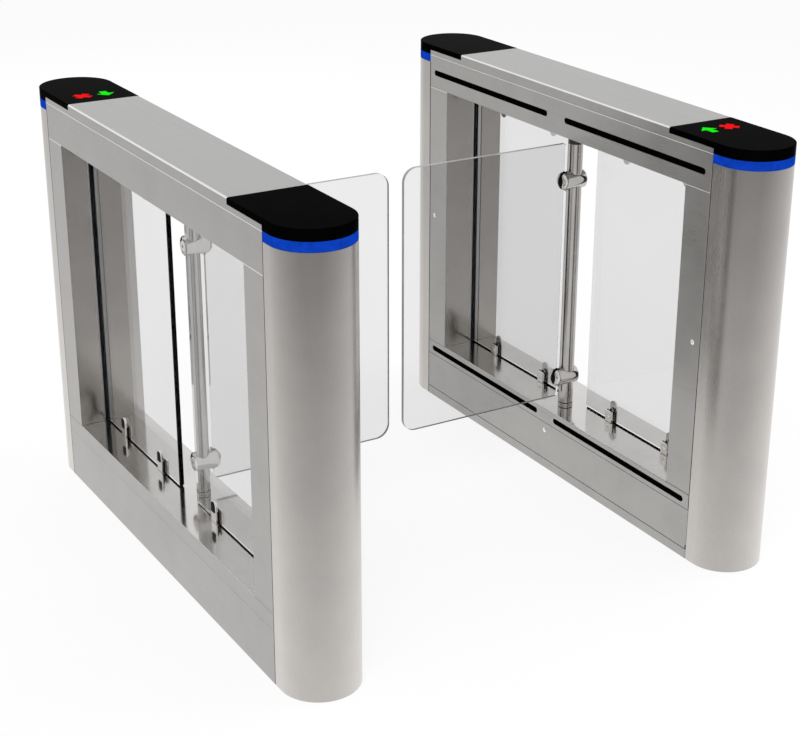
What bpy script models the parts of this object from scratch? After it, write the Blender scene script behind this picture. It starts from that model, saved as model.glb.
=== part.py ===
"""Swing-wing speed gate: two slim cabinets that face each other across a lane.

Metres, +Z up. X runs across the lane, Y along the cabinets, and the origin is on the
floor in the middle of the lane. Both cabinets are the same machine: it is modelled
once, with its lane side towards -X, and the left one is turned half a turn about Z.
"""
import math

import bmesh
import bpy
from mathutils import Matrix, Vector

# Overall sizes
lane_width = 0.910
cabinet_width = 0.180
cabinet_length = 1.416
cabinet_height = 1.020

# Members along the cabinet
cover_straight = 0.028
column_width = 0.086
cap_length = 0.272

# Stacked members
kick_height = 0.024
door_height = 0.104
rail_height = 0.0413
beam_height = 0.0885
cap_depth = 0.0255
skirt_height = 0.0115
ring_height = 0.0205

# Sheet and clearances
sheet = 0.002
floor_sheet = 0.003
gap = 0.0003
door_gap = 0.001
overrun = 0.010
lid_radius = 0.004
cap_radius = 0.002

# End covers
cover_lip = 0.016
hook_height = 0.014
hook_play = 0.0005

# Sensor windows
slot_height = 0.015
slot_middle_gap = 0.073
slot_end_inset = 0.0215
upper_slot_rise = 0.042
lower_slot_drop = 0.0218
sensor_bar_height = 0.021
sensor_bar_depth = 0.010
sensor_bar_end = 0.006

# Fixed panes and what holds them
pane_inset = 0.0785
pane_thickness = 0.012
pane_free_station = 0.050
pane_edge_gap = 0.006
pane_channel_depth = 0.020
pane_channel_room = 0.017
pane_insert = 0.010
clamp_free_inset = 0.105
clamp_column_inset = 0.121
clamp_radius = 0.013
clamp_height = 0.055
clamp_lane_height = 0.030
clamp_thickness = 0.028
clamp_foot = 0.0027
clamp_screw_radius = 0.0045
clamp_screw_head = 0.0015
clamp_stud_radius = 0.004
clamp_bar_width = 0.012
clamp_bar_thickness = 0.005

# Swing post
post_inset = 0.064
post_radius = 0.019
post_wall = 0.003
post_bore_radius = 0.0075
post_plug = 0.010
shaft_radius = 0.015
shaft_below_bearing = 0.004
pivot_radius = 0.010
pivot_length = 0.0295
collar_height = 0.0052
collar_proud = 0.0005
bush_drop = 0.0302
bush_neck_radius = 0.0145
bush_flange_radius = 0.018
bush_flange_thickness = 0.0045

# Swing wing
wing_thickness = 0.010
wing_tip_gap = 0.0408
wing_deck_gap = 0.0302
wing_beam_gap = 0.028
wing_post_gap = 0.0307
wing_corner_radius = 0.035
wing_inner_corner_radius = 0.008
lower_clamp_rise = 0.0515
upper_clamp_drop = 0.097
wing_clamp_radius = 0.0225
wing_clamp_outer_reach = 0.025
wing_clamp_lane_reach = 0.0435
wing_clamp_round = 0.010
wing_clamp_chamfer = 0.004
wing_screw_radius = 0.014
wing_screw_thickness = 0.003

# Drive
gear_module = 0.0025
wheel_teeth = 36
pinion_teeth = 14
pressure_angle = math.radians(20)
backlash = 0.0003
gear_face = 0.012
gear_rise = 0.008
dedendum_share = 1.25
pinion_side_shift = 0.020
pinion_shaft_radius = 0.006
pinion_shaft_depth = 0.024
plate_height = 0.086
plate_thickness = 0.006
plate_wall_room = 0.013
plate_short_reach = 0.060
plate_long_reach = 0.108
plate_leg = 0.004
plate_foot = 0.018
bearing_radius = 0.026
bearing_length = 0.013
motor_radius = 0.028
motor_floor_room = 0.005
gearbox_radius = 0.021
gearbox_length = 0.026
pilot_radius = 0.0125
pilot_height = 0.0065

# Lane access door
door_pivot_inset = 0.0035
door_pivot_rise = 0.0082
door_pin_radius = 0.002
door_pin_clearance = 0.0003
door_flange_depth = 0.010
door_flange_top_room = 0.0092
door_notch_rise = 0.002

# Quarter-turn latches
latch_head_radius = 0.0065
latch_head_height = 0.0025
latch_shaft_radius = 0.0045
latch_cam_length = 0.025
latch_cam_half_width = 0.005
latch_cam_thickness = 0.002
latch_cam_setback = 0.001
door_latch_drop = 0.022
cover_latch_rise = 0.00835
cover_latch_inset = 0.026

# Caps, lights and reader
cap_wall = 0.0025
cap_top = 0.003
ring_wall = 0.005
sign_size = 0.040
sign_stroke = 0.013
sign_spread = 0.029
sign_inset = 0.064
display_board_side_room = 0.038
display_board_start_inset = 0.034
display_board_end_inset = 0.108
display_board_thickness = 0.002
antenna_side_room = 0.050
antenna_length = 0.065
antenna_thickness = 0.003
guide_width = 0.003
guide_height = 0.009
guide_inset = 0.0035

# Electronics in the base
unit_end_room = 0.090
unit_bridge_room = 0.062
unit_side_room = 0.035
unit_plate = 0.002
supply_length_share = 0.4167
supply_side_room = 0.041
supply_height = 0.040
controller_length_share = 0.3333
controller_side_room = 0.045
controller_height = 0.028
terminal_length = 0.014
terminal_height = 0.014
terminal_count = 4
anchor_end_inset = 0.045
anchor_side_inset = 0.035
anchor_hole_radius = 0.007

# Facet counts
end_steps = 20
round_steps = 24
small_steps = 10
corner_steps = 4
flank_steps = 1
rim_steps = 2

# Places that follow from the sizes above
half_width = cabinet_width / 2
cabinet_x = (lane_width + cabinet_width) / 2
end_station = cabinet_length / 2 - half_width
seam_station = end_station - cover_straight
window_station = seam_station - column_width
cap_station = cabinet_length / 2 - cap_length
half_length = seam_station - gap / 2
lane_face = -half_width
panel_seam_height = kick_height + door_height
deck_height = panel_seam_height + rail_height
beam_top_height = cabinet_height - cap_depth
window_top_height = beam_top_height - beam_height
skirt_top_height = beam_top_height + skirt_height
upper_slot_height = window_top_height + upper_slot_rise
lower_slot_height = deck_height - lower_slot_drop
slot_length = seam_station - slot_end_inset - slot_middle_gap / 2
deck_bottom = deck_height - sheet
frame_bottom = deck_height + gap
beam_bottom = window_top_height
beam_web_top = beam_bottom + sheet
lid_bottom = beam_top_height
ring_bottom = beam_top_height - ring_height
pane_x = half_width - pane_inset
pane_half = pane_thickness / 2
pane_bottom = deck_height + pane_edge_gap
pane_top = beam_bottom - pane_edge_gap
clamp_stations = (pane_free_station + clamp_free_inset, window_station - clamp_column_inset)
post_x = lane_face + post_inset
post_reach = cabinet_x + post_x
post_bottom = deck_height + gap
post_top = beam_bottom - bush_drop - gap
shaft_bottom_height = plate_height + plate_thickness / 2 - bearing_length - shaft_below_bearing
wing_bottom_height = deck_height + wing_deck_gap
wing_top_height = window_top_height - wing_beam_gap
lower_clamp_height = wing_bottom_height + lower_clamp_rise
upper_clamp_height = wing_top_height - upper_clamp_drop
wheel_radius = gear_module * wheel_teeth / 2
pinion_radius = gear_module * pinion_teeth / 2
gear_bottom_height = plate_height + plate_thickness + gear_rise
gear_top = gear_bottom_height + gear_face
gear_centres = wheel_radius + pinion_radius
pinion_x = post_x + pinion_side_shift
pinion_y = math.sqrt(gear_centres ** 2 - pinion_side_shift ** 2)
mesh_angle = math.atan2(pinion_y, pinion_side_shift)
door_top = panel_seam_height - gap
door_bottom = kick_height + door_gap + gap
door_pivot_x = lane_face + door_pivot_inset
door_pivot_z = door_bottom + door_pivot_rise
door_latch_height = panel_seam_height - door_latch_drop
rail_flange_bottom = panel_seam_height + door_gap - gap
cover_latch_station = seam_station - cover_latch_inset
cover_latch_height = (deck_height + window_top_height) / 2 + cover_latch_rise
latch_cam_x = lane_face + sheet + gap + latch_cam_setback + latch_cam_thickness
hook_station = cover_latch_station - latch_cam_half_width - hook_play
bulkhead_inner = half_length - sheet
sign_station = cap_station + sign_inset
display_board_start = cap_station + display_board_start_inset
display_board_end = cabinet_length / 2 - display_board_end_inset
anchor_station = seam_station - anchor_end_inset
anchor_spread = half_width - anchor_side_inset
unit_start = unit_end_room - seam_station
unit_end = -plate_short_reach - plate_foot - unit_bridge_room
unit_length = unit_end - unit_start

weld_distance = 0.00001
smooth_angle = math.radians(35)
part_name = "speed_gate"


def clear_scene():
    """Remove whatever the scene holds."""
    for item in list(bpy.data.objects):
        bpy.data.objects.remove(item, do_unlink=True)


def new_collection(name):
    """A collection linked to the scene."""
    collection = bpy.data.collections.new(name)
    bpy.context.scene.collection.children.link(collection)
    return collection


def new_material(name, colour, metallic, roughness, alpha=1.0):
    """A Principled material of one colour."""
    made = bpy.data.materials.new(name)
    made.use_nodes = True
    shader = made.node_tree.nodes["Principled BSDF"]
    shader.inputs["Base Color"].default_value = (*colour, 1.0)
    shader.inputs["Metallic"].default_value = metallic
    shader.inputs["Roughness"].default_value = roughness
    shader.inputs["Alpha"].default_value = alpha
    made.diffuse_color = (*colour, alpha)
    return made


def tidy_mesh(bm, name="shape"):
    """Close loose caps, point the faces out and give back a mesh."""
    bmesh.ops.remove_doubles(bm, verts=bm.verts, dist=weld_distance)
    bmesh.ops.recalc_face_normals(bm, faces=bm.faces)
    mesh = bpy.data.meshes.new(name)
    bm.to_mesh(mesh)
    bm.free()
    return mesh


def evaluated(work):
    """Turn a working object, with its curve or modifiers, into a plain mesh and remove it."""
    bpy.context.view_layer.update()
    depsgraph = bpy.context.evaluated_depsgraph_get()
    mesh = bpy.data.meshes.new_from_object(work.evaluated_get(depsgraph), depsgraph=depsgraph)
    mesh.transform(work.matrix_world)
    bpy.data.objects.remove(work, do_unlink=True)
    bm = bmesh.new()
    bm.from_mesh(mesh)
    return tidy_mesh(bm)


def work_object(data):
    """A working object in the cutters' collection, hidden from renders."""
    work = bpy.data.objects.new("work", data)
    work.hide_render = True
    work.display_type = "WIRE"
    cutters.objects.link(work)
    return work


def box(low, high):
    """A box between two corners."""
    size = Vector(high) - Vector(low)
    middle = (Vector(high) + Vector(low)) / 2
    place = Matrix.Translation(middle) @ Matrix.Diagonal((*size, 1))
    bm = bmesh.new()
    bmesh.ops.create_cube(bm, size=1, matrix=place)
    return tidy_mesh(bm)


def axis_turn(axis):
    """The rotation that lays a shape made along Z along another axis."""
    turns = {
        "X": Matrix(((0, 0, 1, 0), (1, 0, 0, 0), (0, 1, 0, 0), (0, 0, 0, 1))),
        "Y": Matrix(((1, 0, 0, 0), (0, 0, -1, 0), (0, 1, 0, 0), (0, 0, 0, 1))),
        "Z": Matrix.Identity(4),
    }
    return turns[axis]


def cylinder(centre, radius, length, axis="Z", steps=round_steps):
    """A closed cylinder about a centre point."""
    place = Matrix.Translation(centre) @ axis_turn(axis)
    bm = bmesh.new()
    bmesh.ops.create_cone(bm, cap_ends=True, segments=steps, radius1=radius, radius2=radius,
                          depth=length, matrix=place)
    return tidy_mesh(bm)


def prism(outline, low, high, axis="Z"):
    """A flat outline drawn as a filled 2D curve and extruded between two levels.

    Along X the outline is (y, z), along Y it is (x, z) and along Z it is (x, y).
    """
    curve = bpy.data.curves.new("outline", "CURVE")
    curve.dimensions = "2D"
    curve.fill_mode = "BOTH"
    curve.extrude = (high - low) / 2
    spline = curve.splines.new("POLY")
    spline.points.add(len(outline) - 1)
    for point, (u, v) in zip(spline.points, outline):
        point.co = (u, v, 0, 1)
    spline.use_cyclic_u = True
    level = (high + low) / 2
    offset = {"X": (level, 0, 0), "Y": (0, level, 0), "Z": (0, 0, level)}[axis]
    work = work_object(curve)
    work.matrix_world = Matrix.Translation(offset) @ axis_turn(axis)
    return evaluated(work)


def turned(profile, steps=round_steps):
    """A profile of (radius, height) points turned about Z; it closes unless it meets the axis."""
    bm = bmesh.new()
    points = [bm.verts.new((radius, 0, height)) for radius, height in profile]
    edges = list(zip(points, points[1:]))
    if profile[0][0] > 0:
        edges.append((points[-1], points[0]))
    for pair in edges:
        bm.edges.new(pair)
    mesh = bpy.data.meshes.new("profile")
    bm.to_mesh(mesh)
    bm.free()
    work = work_object(mesh)
    screw = work.modifiers.new("turn", "SCREW")
    screw.steps = steps
    screw.render_steps = steps
    screw.use_merge_vertices = True
    screw.merge_threshold = weld_distance
    return evaluated(work)


def boolean(mesh, other, operation):
    """Boolean of two meshes with the exact solver."""
    work = work_object(mesh)
    tool = work_object(other)
    modifier = work.modifiers.new("boolean", "BOOLEAN")
    modifier.operation = operation
    modifier.solver = "EXACT"
    modifier.object = tool
    result = evaluated(work)
    bpy.data.objects.remove(tool, do_unlink=True)
    return result


def cut(mesh, *others):
    """The mesh less each of the others."""
    for other in others:
        mesh = boolean(mesh, other, "DIFFERENCE")
    return mesh


def joined(mesh, *others):
    """The mesh and the others as one solid."""
    for other in others:
        mesh = boolean(mesh, other, "UNION")
    return mesh


def moved(mesh, matrix):
    """A copy of a mesh, moved; a mirrored copy has its faces turned out again."""
    bm = bmesh.new()
    bm.from_mesh(mesh)
    bm.transform(matrix)
    return tidy_mesh(bm)


def shifted(mesh, x=0, y=0, z=0):
    """A copy of a mesh, shifted."""
    return moved(mesh, Matrix.Translation((x, y, z)))


def flipped(mesh, axis):
    """A copy of a mesh, mirrored across the plane through the origin square to an axis."""
    scale = {"X": (-1, 1, 1, 1), "Y": (1, -1, 1, 1), "Z": (1, 1, -1, 1)}[axis]
    return moved(mesh, Matrix.Diagonal(scale))


def node(name, mesh, finish, parent=None):
    """Put a mesh in the scene as a named sub-part with its own material."""
    mesh = mesh.copy()
    mesh.name = name
    mesh.shade_smooth()
    mesh.set_sharp_from_angle(angle=smooth_angle)
    mesh.materials.clear()
    mesh.materials.append(new_material(name, *finish))
    item = bpy.data.objects.new(name, mesh)
    item.parent = parent
    part.objects.link(item)
    return item


def pivot(name, parent, place, turn=0):
    """An empty that marks a cabinet's frame or a joint's axis."""
    item = bpy.data.objects.new(name, None)
    item.location = place
    item.rotation_euler = (0, 0, turn)
    item.parent = parent
    part.objects.link(item)
    return item


def arc(centre, radius, start, end, steps):
    """Points on an arc, angles in degrees, both ends included."""
    points = []
    for i in range(steps + 1):
        angle = math.radians(start + (end - start) * i / steps)
        points.append((centre[0] + radius * math.cos(angle), centre[1] + radius * math.sin(angle)))
    return points


def mirrored(points):
    """An outline's points followed by their mirror image in u, which closes it."""
    return points + [(-u, v) for u, v in reversed(points)]


def end_outline(start, inset=0):
    """The plan of a cabinet's round end, straight from a station and then half round."""
    radius = half_width - inset
    return [(radius, start)] + arc((0, end_station), radius, 0, 180, end_steps) + [(-radius, start)]


def rounded_rectangle(low, high, radii):
    """A rectangle with its own radius at each corner: low-low, high-low, high-high, low-high."""
    corners = [(low[0], low[1], 1, 1, 180), (high[0], low[1], -1, 1, 270),
               (high[0], high[1], -1, -1, 0), (low[0], high[1], 1, -1, 90)]
    points = []
    for (u, v, towards_u, towards_v, start), radius in zip(corners, radii):
        centre = (u + towards_u * radius, v + towards_v * radius)
        points += arc(centre, radius, start, start + 90, corner_steps)
    return points


def stadium(centre, length, height):
    """A slot's outline with half-round ends."""
    radius = height / 2
    reach = length / 2 - radius
    u, v = centre
    return (arc((u + reach, v), radius, -90, 90, corner_steps)
            + arc((u - reach, v), radius, 90, 270, corner_steps))


def slot_stations():
    """Middles of the two sensor slots along the cabinet."""
    reach = (slot_middle_gap + slot_length) / 2
    return (-reach, reach)


def sensor_slots(height):
    """Cutters for the two stadium slots in a lane-side flange."""
    low = lane_face - overrun
    high = lane_face + overrun
    return [prism(stadium((y, height), slot_length, slot_height), low, high, "X")
            for y in slot_stations()]


def stud_places():
    """Where the pane clamps' studs pass through the deck and the window's head."""
    return [(pane_x, side * station) for side in (-1, 1) for station in clamp_stations]


def stud_holes(height):
    """Cutters for the clamps' stud holes in a web at a height."""
    return [cylinder((x, y, height), clamp_stud_radius + gap, overrun, steps=small_steps)
            for x, y in stud_places()]


def anchor_places():
    """The four floor anchors of a cabinet."""
    return [(x, y) for x in (-anchor_spread, anchor_spread) for y in (-anchor_station, anchor_station)]


def base_tray():
    """Folded tray: floor, outer wall, kick strip on the lane side and two bulkheads."""
    outer_top = rail_flange_bottom - gap
    outline = [(-half_width, 0), (half_width, 0), (half_width, outer_top),
               (half_width - sheet, outer_top), (half_width - sheet, floor_sheet),
               (-half_width + sheet, floor_sheet), (-half_width + sheet, kick_height),
               (-half_width, kick_height)]
    mesh = prism(outline, -half_length, half_length, "Y")
    inner = half_width - sheet - gap
    pin_hole = door_pin_radius + door_pin_clearance
    for low, high in ((-half_length, -bulkhead_inner), (bulkhead_inner, half_length)):
        wall = box((-inner, low, 0), (inner, high, deck_bottom - gap))
        hole = cylinder((door_pivot_x, (low + high) / 2, door_pivot_z), pin_hole, sheet + overrun,
                        "Y", small_steps)
        mesh = joined(mesh, cut(wall, hole))
    for x, y in anchor_places():
        mesh = cut(mesh, cylinder((x, y, 0), anchor_hole_radius, overrun, steps=small_steps))
    return mesh


def base_rail():
    """Folded channel over the tray: the polished deck, and the lower slots in its lane flange."""
    inner = half_width - sheet
    outline = [(half_width, rail_flange_bottom), (half_width, deck_height),
               (-half_width, deck_height), (-half_width, rail_flange_bottom),
               (-inner, rail_flange_bottom), (-inner, deck_bottom), (inner, deck_bottom),
               (inner, rail_flange_bottom)]
    mesh = prism(outline, -half_length, half_length, "Y")
    shaft_hole = cylinder((post_x, 0, deck_height), shaft_radius + gap, overrun)
    return cut(mesh, shaft_hole, *stud_holes(deck_height), *sensor_slots(lower_slot_height))


def jamb_web():
    """Upright web at +Y that closes the window, folded into a pocket for the pane's edge."""
    edge = half_width - sheet / 2
    room = pane_channel_room
    pocket = pane_channel_room + sheet
    front = window_station + sheet
    back = window_station + pane_channel_depth
    outline = [(edge, window_station), (pane_x + room, window_station), (pane_x + room, back),
               (pane_x - room, back), (pane_x - room, window_station), (-edge, window_station),
               (-edge, front), (pane_x - pocket, front), (pane_x - pocket, back + sheet),
               (pane_x + pocket, back + sheet), (pane_x + pocket, front), (edge, front)]
    return prism(outline, frame_bottom, beam_bottom + sheet / 2)


def window_frame():
    """Welded frame over the base: two side sheets, the head's web and both jambs' webs."""
    top = beam_top_height - gap
    outline = [(-half_length, frame_bottom), (-half_length, top), (half_length, top),
               (half_length, frame_bottom), (window_station, frame_bottom),
               (window_station, beam_bottom), (-window_station, beam_bottom),
               (-window_station, frame_bottom)]
    lane_side = prism(outline, lane_face, lane_face + sheet, "X")
    lane_side = cut(lane_side, *sensor_slots(upper_slot_height))
    for station in (-cover_latch_station, cover_latch_station):
        hole = cylinder((lane_face, station, cover_latch_height), latch_shaft_radius + gap, overrun,
                        "X", small_steps)
        lane_side = cut(lane_side, hole)
    outer_side = prism(outline, half_width - sheet, half_width, "X")
    edge = half_width - sheet / 2
    head = box((-edge, -half_length, beam_bottom), (edge, half_length, beam_web_top))
    bush_hole = cylinder((post_x, 0, beam_bottom), bush_neck_radius + gap, overrun)
    head = cut(head, bush_hole, *stud_holes(beam_bottom))
    web = jamb_web()
    return joined(head, lane_side, outer_side, web, flipped(web, "Y"))


def end_cover():
    """Half-round shell at +Y with lips at the seam and a hook for the latch."""
    start = seam_station + gap / 2
    inner = half_width - sheet
    lip = inner - cover_lip
    outer = end_outline(start)
    inside = end_outline(start + sheet, sheet)
    outline = outer + [(-lip, start), (-lip, start + sheet)]
    outline += list(reversed(inside)) + [(lip, start + sheet), (lip, start)]
    mesh = prism(outline, 0, ring_bottom - gap)
    arm_x = latch_cam_x + sheet
    low = cover_latch_height + latch_cam_half_width + sheet
    high = low + hook_height
    arm = box((arm_x, hook_station - sheet, low), (arm_x + sheet, start + sheet, high))
    tongue = box((lane_face + sheet + gap, hook_station - sheet, low),
                 (arm_x + sheet / 2, hook_station, high))
    return joined(mesh, arm, tongue)


def top_lid():
    """Lid with a raised middle between the caps and a skirt along both sides."""
    low_part = box((-half_width, -half_length, lid_bottom),
                   (half_width, half_length, skirt_top_height))
    corner = cabinet_height - lid_radius
    right = [(half_width, lid_bottom)]
    right += arc((half_width - lid_radius, corner), lid_radius, 0, 90, corner_steps)
    reach = cap_station - gap / 2
    raised = prism(mirrored(right), -reach, reach, "Y")
    inner = half_width - sheet
    low_room = box((-inner, -half_length - overrun, lid_bottom - overrun),
                   (inner, half_length + overrun, skirt_top_height - sheet))
    high_room = box((-inner + lid_radius, -reach + sheet, lid_bottom - overrun),
                    (inner - lid_radius, reach - sheet, cabinet_height - sheet))
    return cut(joined(low_part, raised), low_room, high_room)


def round_rim(mesh):
    """A cap's outer mesh with its top rim rounded."""
    bm = bmesh.new()
    bm.from_mesh(mesh)
    top = [face for face in bm.faces if all(vert.co.z > cabinet_height - gap for vert in face.verts)]
    bmesh.ops.dissolve_faces(bm, faces=top)
    rim = [edge for edge in bm.edges
           if all(vert.co.z > cabinet_height - gap for vert in edge.verts)]
    bmesh.ops.bevel(bm, geom=rim, offset=cap_radius, segments=rim_steps, profile=0.5, affect="EDGES")
    return tidy_mesh(bm)


def end_cap():
    """Black cap over the end at +Y: a D in plan, deep round the end and shallow over the lid."""
    start = cap_station + gap / 2
    outer = round_rim(prism(end_outline(start), lid_bottom + gap, cabinet_height))
    over_lid = box((-half_width - overrun, start - overrun, lid_bottom - overrun),
                   (half_width + overrun, seam_station + gap / 2, skirt_top_height + gap))
    room = prism(end_outline(start + cap_wall, cap_wall), lid_bottom - overrun,
                 cabinet_height - cap_top)
    return cut(outer, over_lid, room)


def cross_outline(grow=0):
    """A diagonal cross about the sign's place, grown all round."""
    reach = sign_size / 2 + grow
    half = sign_stroke / 2 + grow
    quarter = [(half, half), (reach, half), (reach, -half)]
    points = []
    for turn in range(4):
        angle = math.radians(45 - 90 * turn)
        for u, v in quarter:
            points.append((u * math.cos(angle) - v * math.sin(angle) - sign_spread,
                           u * math.sin(angle) + v * math.cos(angle) + sign_station))
    return points


def arrow_outline(grow=0):
    """An arrow towards the lane's middle about the sign's place, grown all round."""
    reach = sign_size / 2 + grow
    half = sign_stroke / 2 + grow
    points = mirrored([(half, reach), (half, grow), (reach, grow), (grow, -reach)])
    return [(u + sign_spread, v + sign_station) for u, v in points]


def display_cap():
    """End cap at +Y with the cross and the arrow cut through its top."""
    low = cabinet_height - cap_top - overrun
    high = cabinet_height + overrun
    return cut(end_cap(), prism(cross_outline(gap), low, high), prism(arrow_outline(gap), low, high))


def display_module():
    """Board under the display cap at +Y: the card antenna below, the lit signs standing up."""
    top = cabinet_height - cap_top - gap
    low = top - display_board_thickness
    half = half_width - display_board_side_room
    mesh = box((-half, display_board_start, low), (half, display_board_end, top))
    half = half_width - antenna_side_room
    antenna = box((-half, display_board_end - antenna_length, low - antenna_thickness),
                  (half, display_board_end, top - gap))
    cross = prism(cross_outline(), top - gap, cabinet_height)
    arrow = prism(arrow_outline(), top - gap, cabinet_height)
    return joined(mesh, antenna, cross, arrow)


def light_guide():
    """Light band round both ends, under the caps, fed by a strip inside the window's head."""
    start = seam_station + gap / 2
    inside = end_outline(start, ring_wall)
    band = prism(end_outline(start) + list(reversed(inside)), ring_bottom, beam_top_height)
    high = half_width - guide_inset
    middle = (ring_bottom + beam_top_height) / 2
    strip = box((high - guide_width, -start - ring_wall, middle - guide_height / 2),
                (high, start + ring_wall, middle + guide_height / 2))
    return joined(strip, band, flipped(band, "Y"))


def sensor_strip(height):
    """Row of light-beam sensors: a bar behind the sheet with a smoked lens in each slot."""
    back = lane_face + sheet + gap
    reach = slot_middle_gap / 2 + slot_length + sensor_bar_end
    half = sensor_bar_height / 2
    mesh = box((back, -reach, height - half), (back + sensor_bar_depth, reach, height + half))
    lenses = [prism(stadium((y, height), slot_length - 2 * gap, slot_height - 2 * gap),
                    lane_face + gap, back + sheet, "X") for y in slot_stations()]
    return joined(mesh, *lenses)


def fixed_pane():
    """Fixed glass at +Y, from its free edge into the jamb's pocket."""
    return box((pane_x - pane_half, pane_free_station, pane_bottom),
               (pane_x + pane_half, window_station + pane_insert, pane_top))


def pane_clamps():
    """Four clamps on the deck, their lane-side jaws low, with studs and a backing bar under it."""
    half = clamp_thickness / 2
    room = pane_half + gap
    seat = deck_height + gap
    centre = seat + clamp_height - clamp_radius
    outline = [(clamp_radius, seat)] + arc((0, centre), clamp_radius, 0, 180, corner_steps * 2)
    outline.append((-clamp_radius, seat))
    jaws = prism(outline, -half, half, "X")
    high = seat + clamp_height + overrun
    slot = box((-room, -clamp_radius - overrun, seat + clamp_foot),
               (room, clamp_radius + overrun, high))
    over_lane_jaw = box((-half - overrun, -clamp_radius - overrun, seat + clamp_lane_height),
                        (0, clamp_radius + overrun, high))
    screw_height = seat + clamp_lane_height / 2
    screw = cylinder((-half, 0, screw_height), clamp_screw_radius, clamp_screw_head * 2, "X",
                     small_steps)
    bar_top = deck_bottom - gap
    bar_low = bar_top - clamp_bar_thickness
    stud_length = seat + clamp_foot / 2 - bar_low - clamp_bar_thickness / 2
    stud = cylinder((0, 0, bar_low + clamp_bar_thickness / 2 + stud_length / 2), clamp_stud_radius,
                    stud_length, steps=small_steps)
    clamp = joined(cut(jaws, slot, over_lane_jaw), screw, stud)
    reach = max(clamp_stations) + clamp_bar_width / 2
    bar = box((pane_x - clamp_bar_width / 2, -reach, bar_low),
              (pane_x + clamp_bar_width / 2, reach, bar_top))
    return joined(bar, *[shifted(clamp, x=x, y=y) for x, y in stud_places()])


def hung_pane_clamps(standing):
    """The same clamps hung from the window's head."""
    hanging = flipped(standing, "Z")
    return shifted(hanging, z=deck_height + beam_bottom)


def swing_post():
    """Hollow post with a collar at its foot, a thinner shaft below and a pivot at its top."""
    inner = post_radius - post_wall
    collar = post_radius + collar_proud
    collar_top = post_bottom + collar_height
    pivot_top = post_top + pivot_length
    profile = [(pivot_radius, pivot_top), (pivot_radius, post_top), (post_radius, post_top),
               (post_radius, collar_top), (collar, collar_top), (collar, post_bottom),
               (shaft_radius, post_bottom), (shaft_radius, shaft_bottom_height),
               (post_bore_radius, shaft_bottom_height), (post_bore_radius, post_bottom + post_plug),
               (inner, post_bottom + post_plug), (inner, post_top - post_plug),
               (post_bore_radius, post_top - post_plug), (post_bore_radius, pivot_top)]
    return turned(profile)


def upper_bush():
    """Black bush that hangs from the window's head and holds the post's pivot."""
    bore = pivot_radius + gap
    web_top = beam_web_top + gap
    top = web_top + bush_flange_thickness
    seat = beam_bottom - gap
    body = post_radius - gap
    profile = [(bush_flange_radius, top), (bush_flange_radius, web_top),
               (bush_neck_radius, web_top), (bush_neck_radius, seat), (body, seat),
               (body, beam_bottom - bush_drop), (bore, beam_bottom - bush_drop), (bore, top)]
    return shifted(turned(profile), x=post_x)


def wing_glass():
    """Frameless glass wing, in the post's frame, reaching towards the lane's middle."""
    reach = post_reach - wing_tip_gap / 2
    radii = (wing_corner_radius, wing_inner_corner_radius, wing_inner_corner_radius, wing_corner_radius)
    outline = rounded_rectangle((-reach, wing_bottom_height), (-wing_post_gap, wing_top_height), radii)
    return prism(outline, -wing_thickness / 2, wing_thickness / 2, "Y")


def wing_clamp(height):
    """Round clamp about the post, split from its jaws to behind the bore, with a screw cap."""
    round_centre = wing_clamp_lane_reach - wing_clamp_round
    rim = wing_clamp_radius - wing_clamp_round
    nose = arc((rim, round_centre), wing_clamp_round, 90, 0, corner_steps // 2)
    cap_end = -wing_clamp_outer_reach - wing_screw_thickness
    profile = [(0, wing_clamp_lane_reach)] + nose
    profile += [(wing_clamp_radius, wing_clamp_chamfer - wing_clamp_outer_reach),
                (wing_clamp_radius - wing_clamp_chamfer, -wing_clamp_outer_reach),
                (wing_screw_radius, -wing_clamp_outer_reach), (wing_screw_radius, cap_end),
                (0, cap_end)]
    body = moved(turned(profile, end_steps), Matrix.Rotation(-math.pi / 2, 4, "Y"))
    span = wing_clamp_radius + overrun
    lane_end = -wing_clamp_lane_reach - overrun
    half = wing_thickness / 2 + gap
    slot = box((lane_end, -half, -span), (-wing_post_gap + gap, half, span))
    split = box((lane_end, -gap / 2, -span), (post_radius + wing_clamp_chamfer / 2, gap / 2, span))
    bore = cylinder((0, 0, 0), post_radius + gap, 2 * span)
    return shifted(cut(body, bore, slot, split), z=height)


def involute(angle):
    """Involute function of a pressure angle."""
    return math.tan(angle) - angle


def gear_outline(teeth, first_angle):
    """Involute gear outline with a tooth centred on the first angle."""
    pitch = gear_module * teeth / 2
    base = pitch * math.cos(pressure_angle)
    tip = pitch + gear_module
    root = pitch - gear_module * dedendum_share
    start = max(base, root)
    half_tooth = math.pi / 2 / teeth - backlash / 2 / pitch + involute(pressure_angle)
    flank = []
    for i in range(flank_steps + 1):
        radius = start + (tip - start) * i / flank_steps
        flank.append((radius, half_tooth - involute(math.acos(min(1, base / radius)))))
    if root < start:
        flank.insert(0, (root, flank[0][1]))
    points = []
    for tooth in range(teeth):
        middle = first_angle + 2 * math.pi * tooth / teeth
        sides = [(radius, middle - turn) for radius, turn in flank]
        sides += [(radius, middle + turn) for radius, turn in reversed(flank)]
        points += [(radius * math.cos(turn), radius * math.sin(turn)) for radius, turn in sides]
    return points


def drive_wheel():
    """Gear on the post's shaft, in the post's frame."""
    mesh = prism(gear_outline(wheel_teeth, mesh_angle), gear_bottom_height, gear_top)
    bore = cylinder((0, 0, gear_top), shaft_radius + gap, 2 * gear_face + overrun)
    return cut(mesh, bore)


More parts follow.
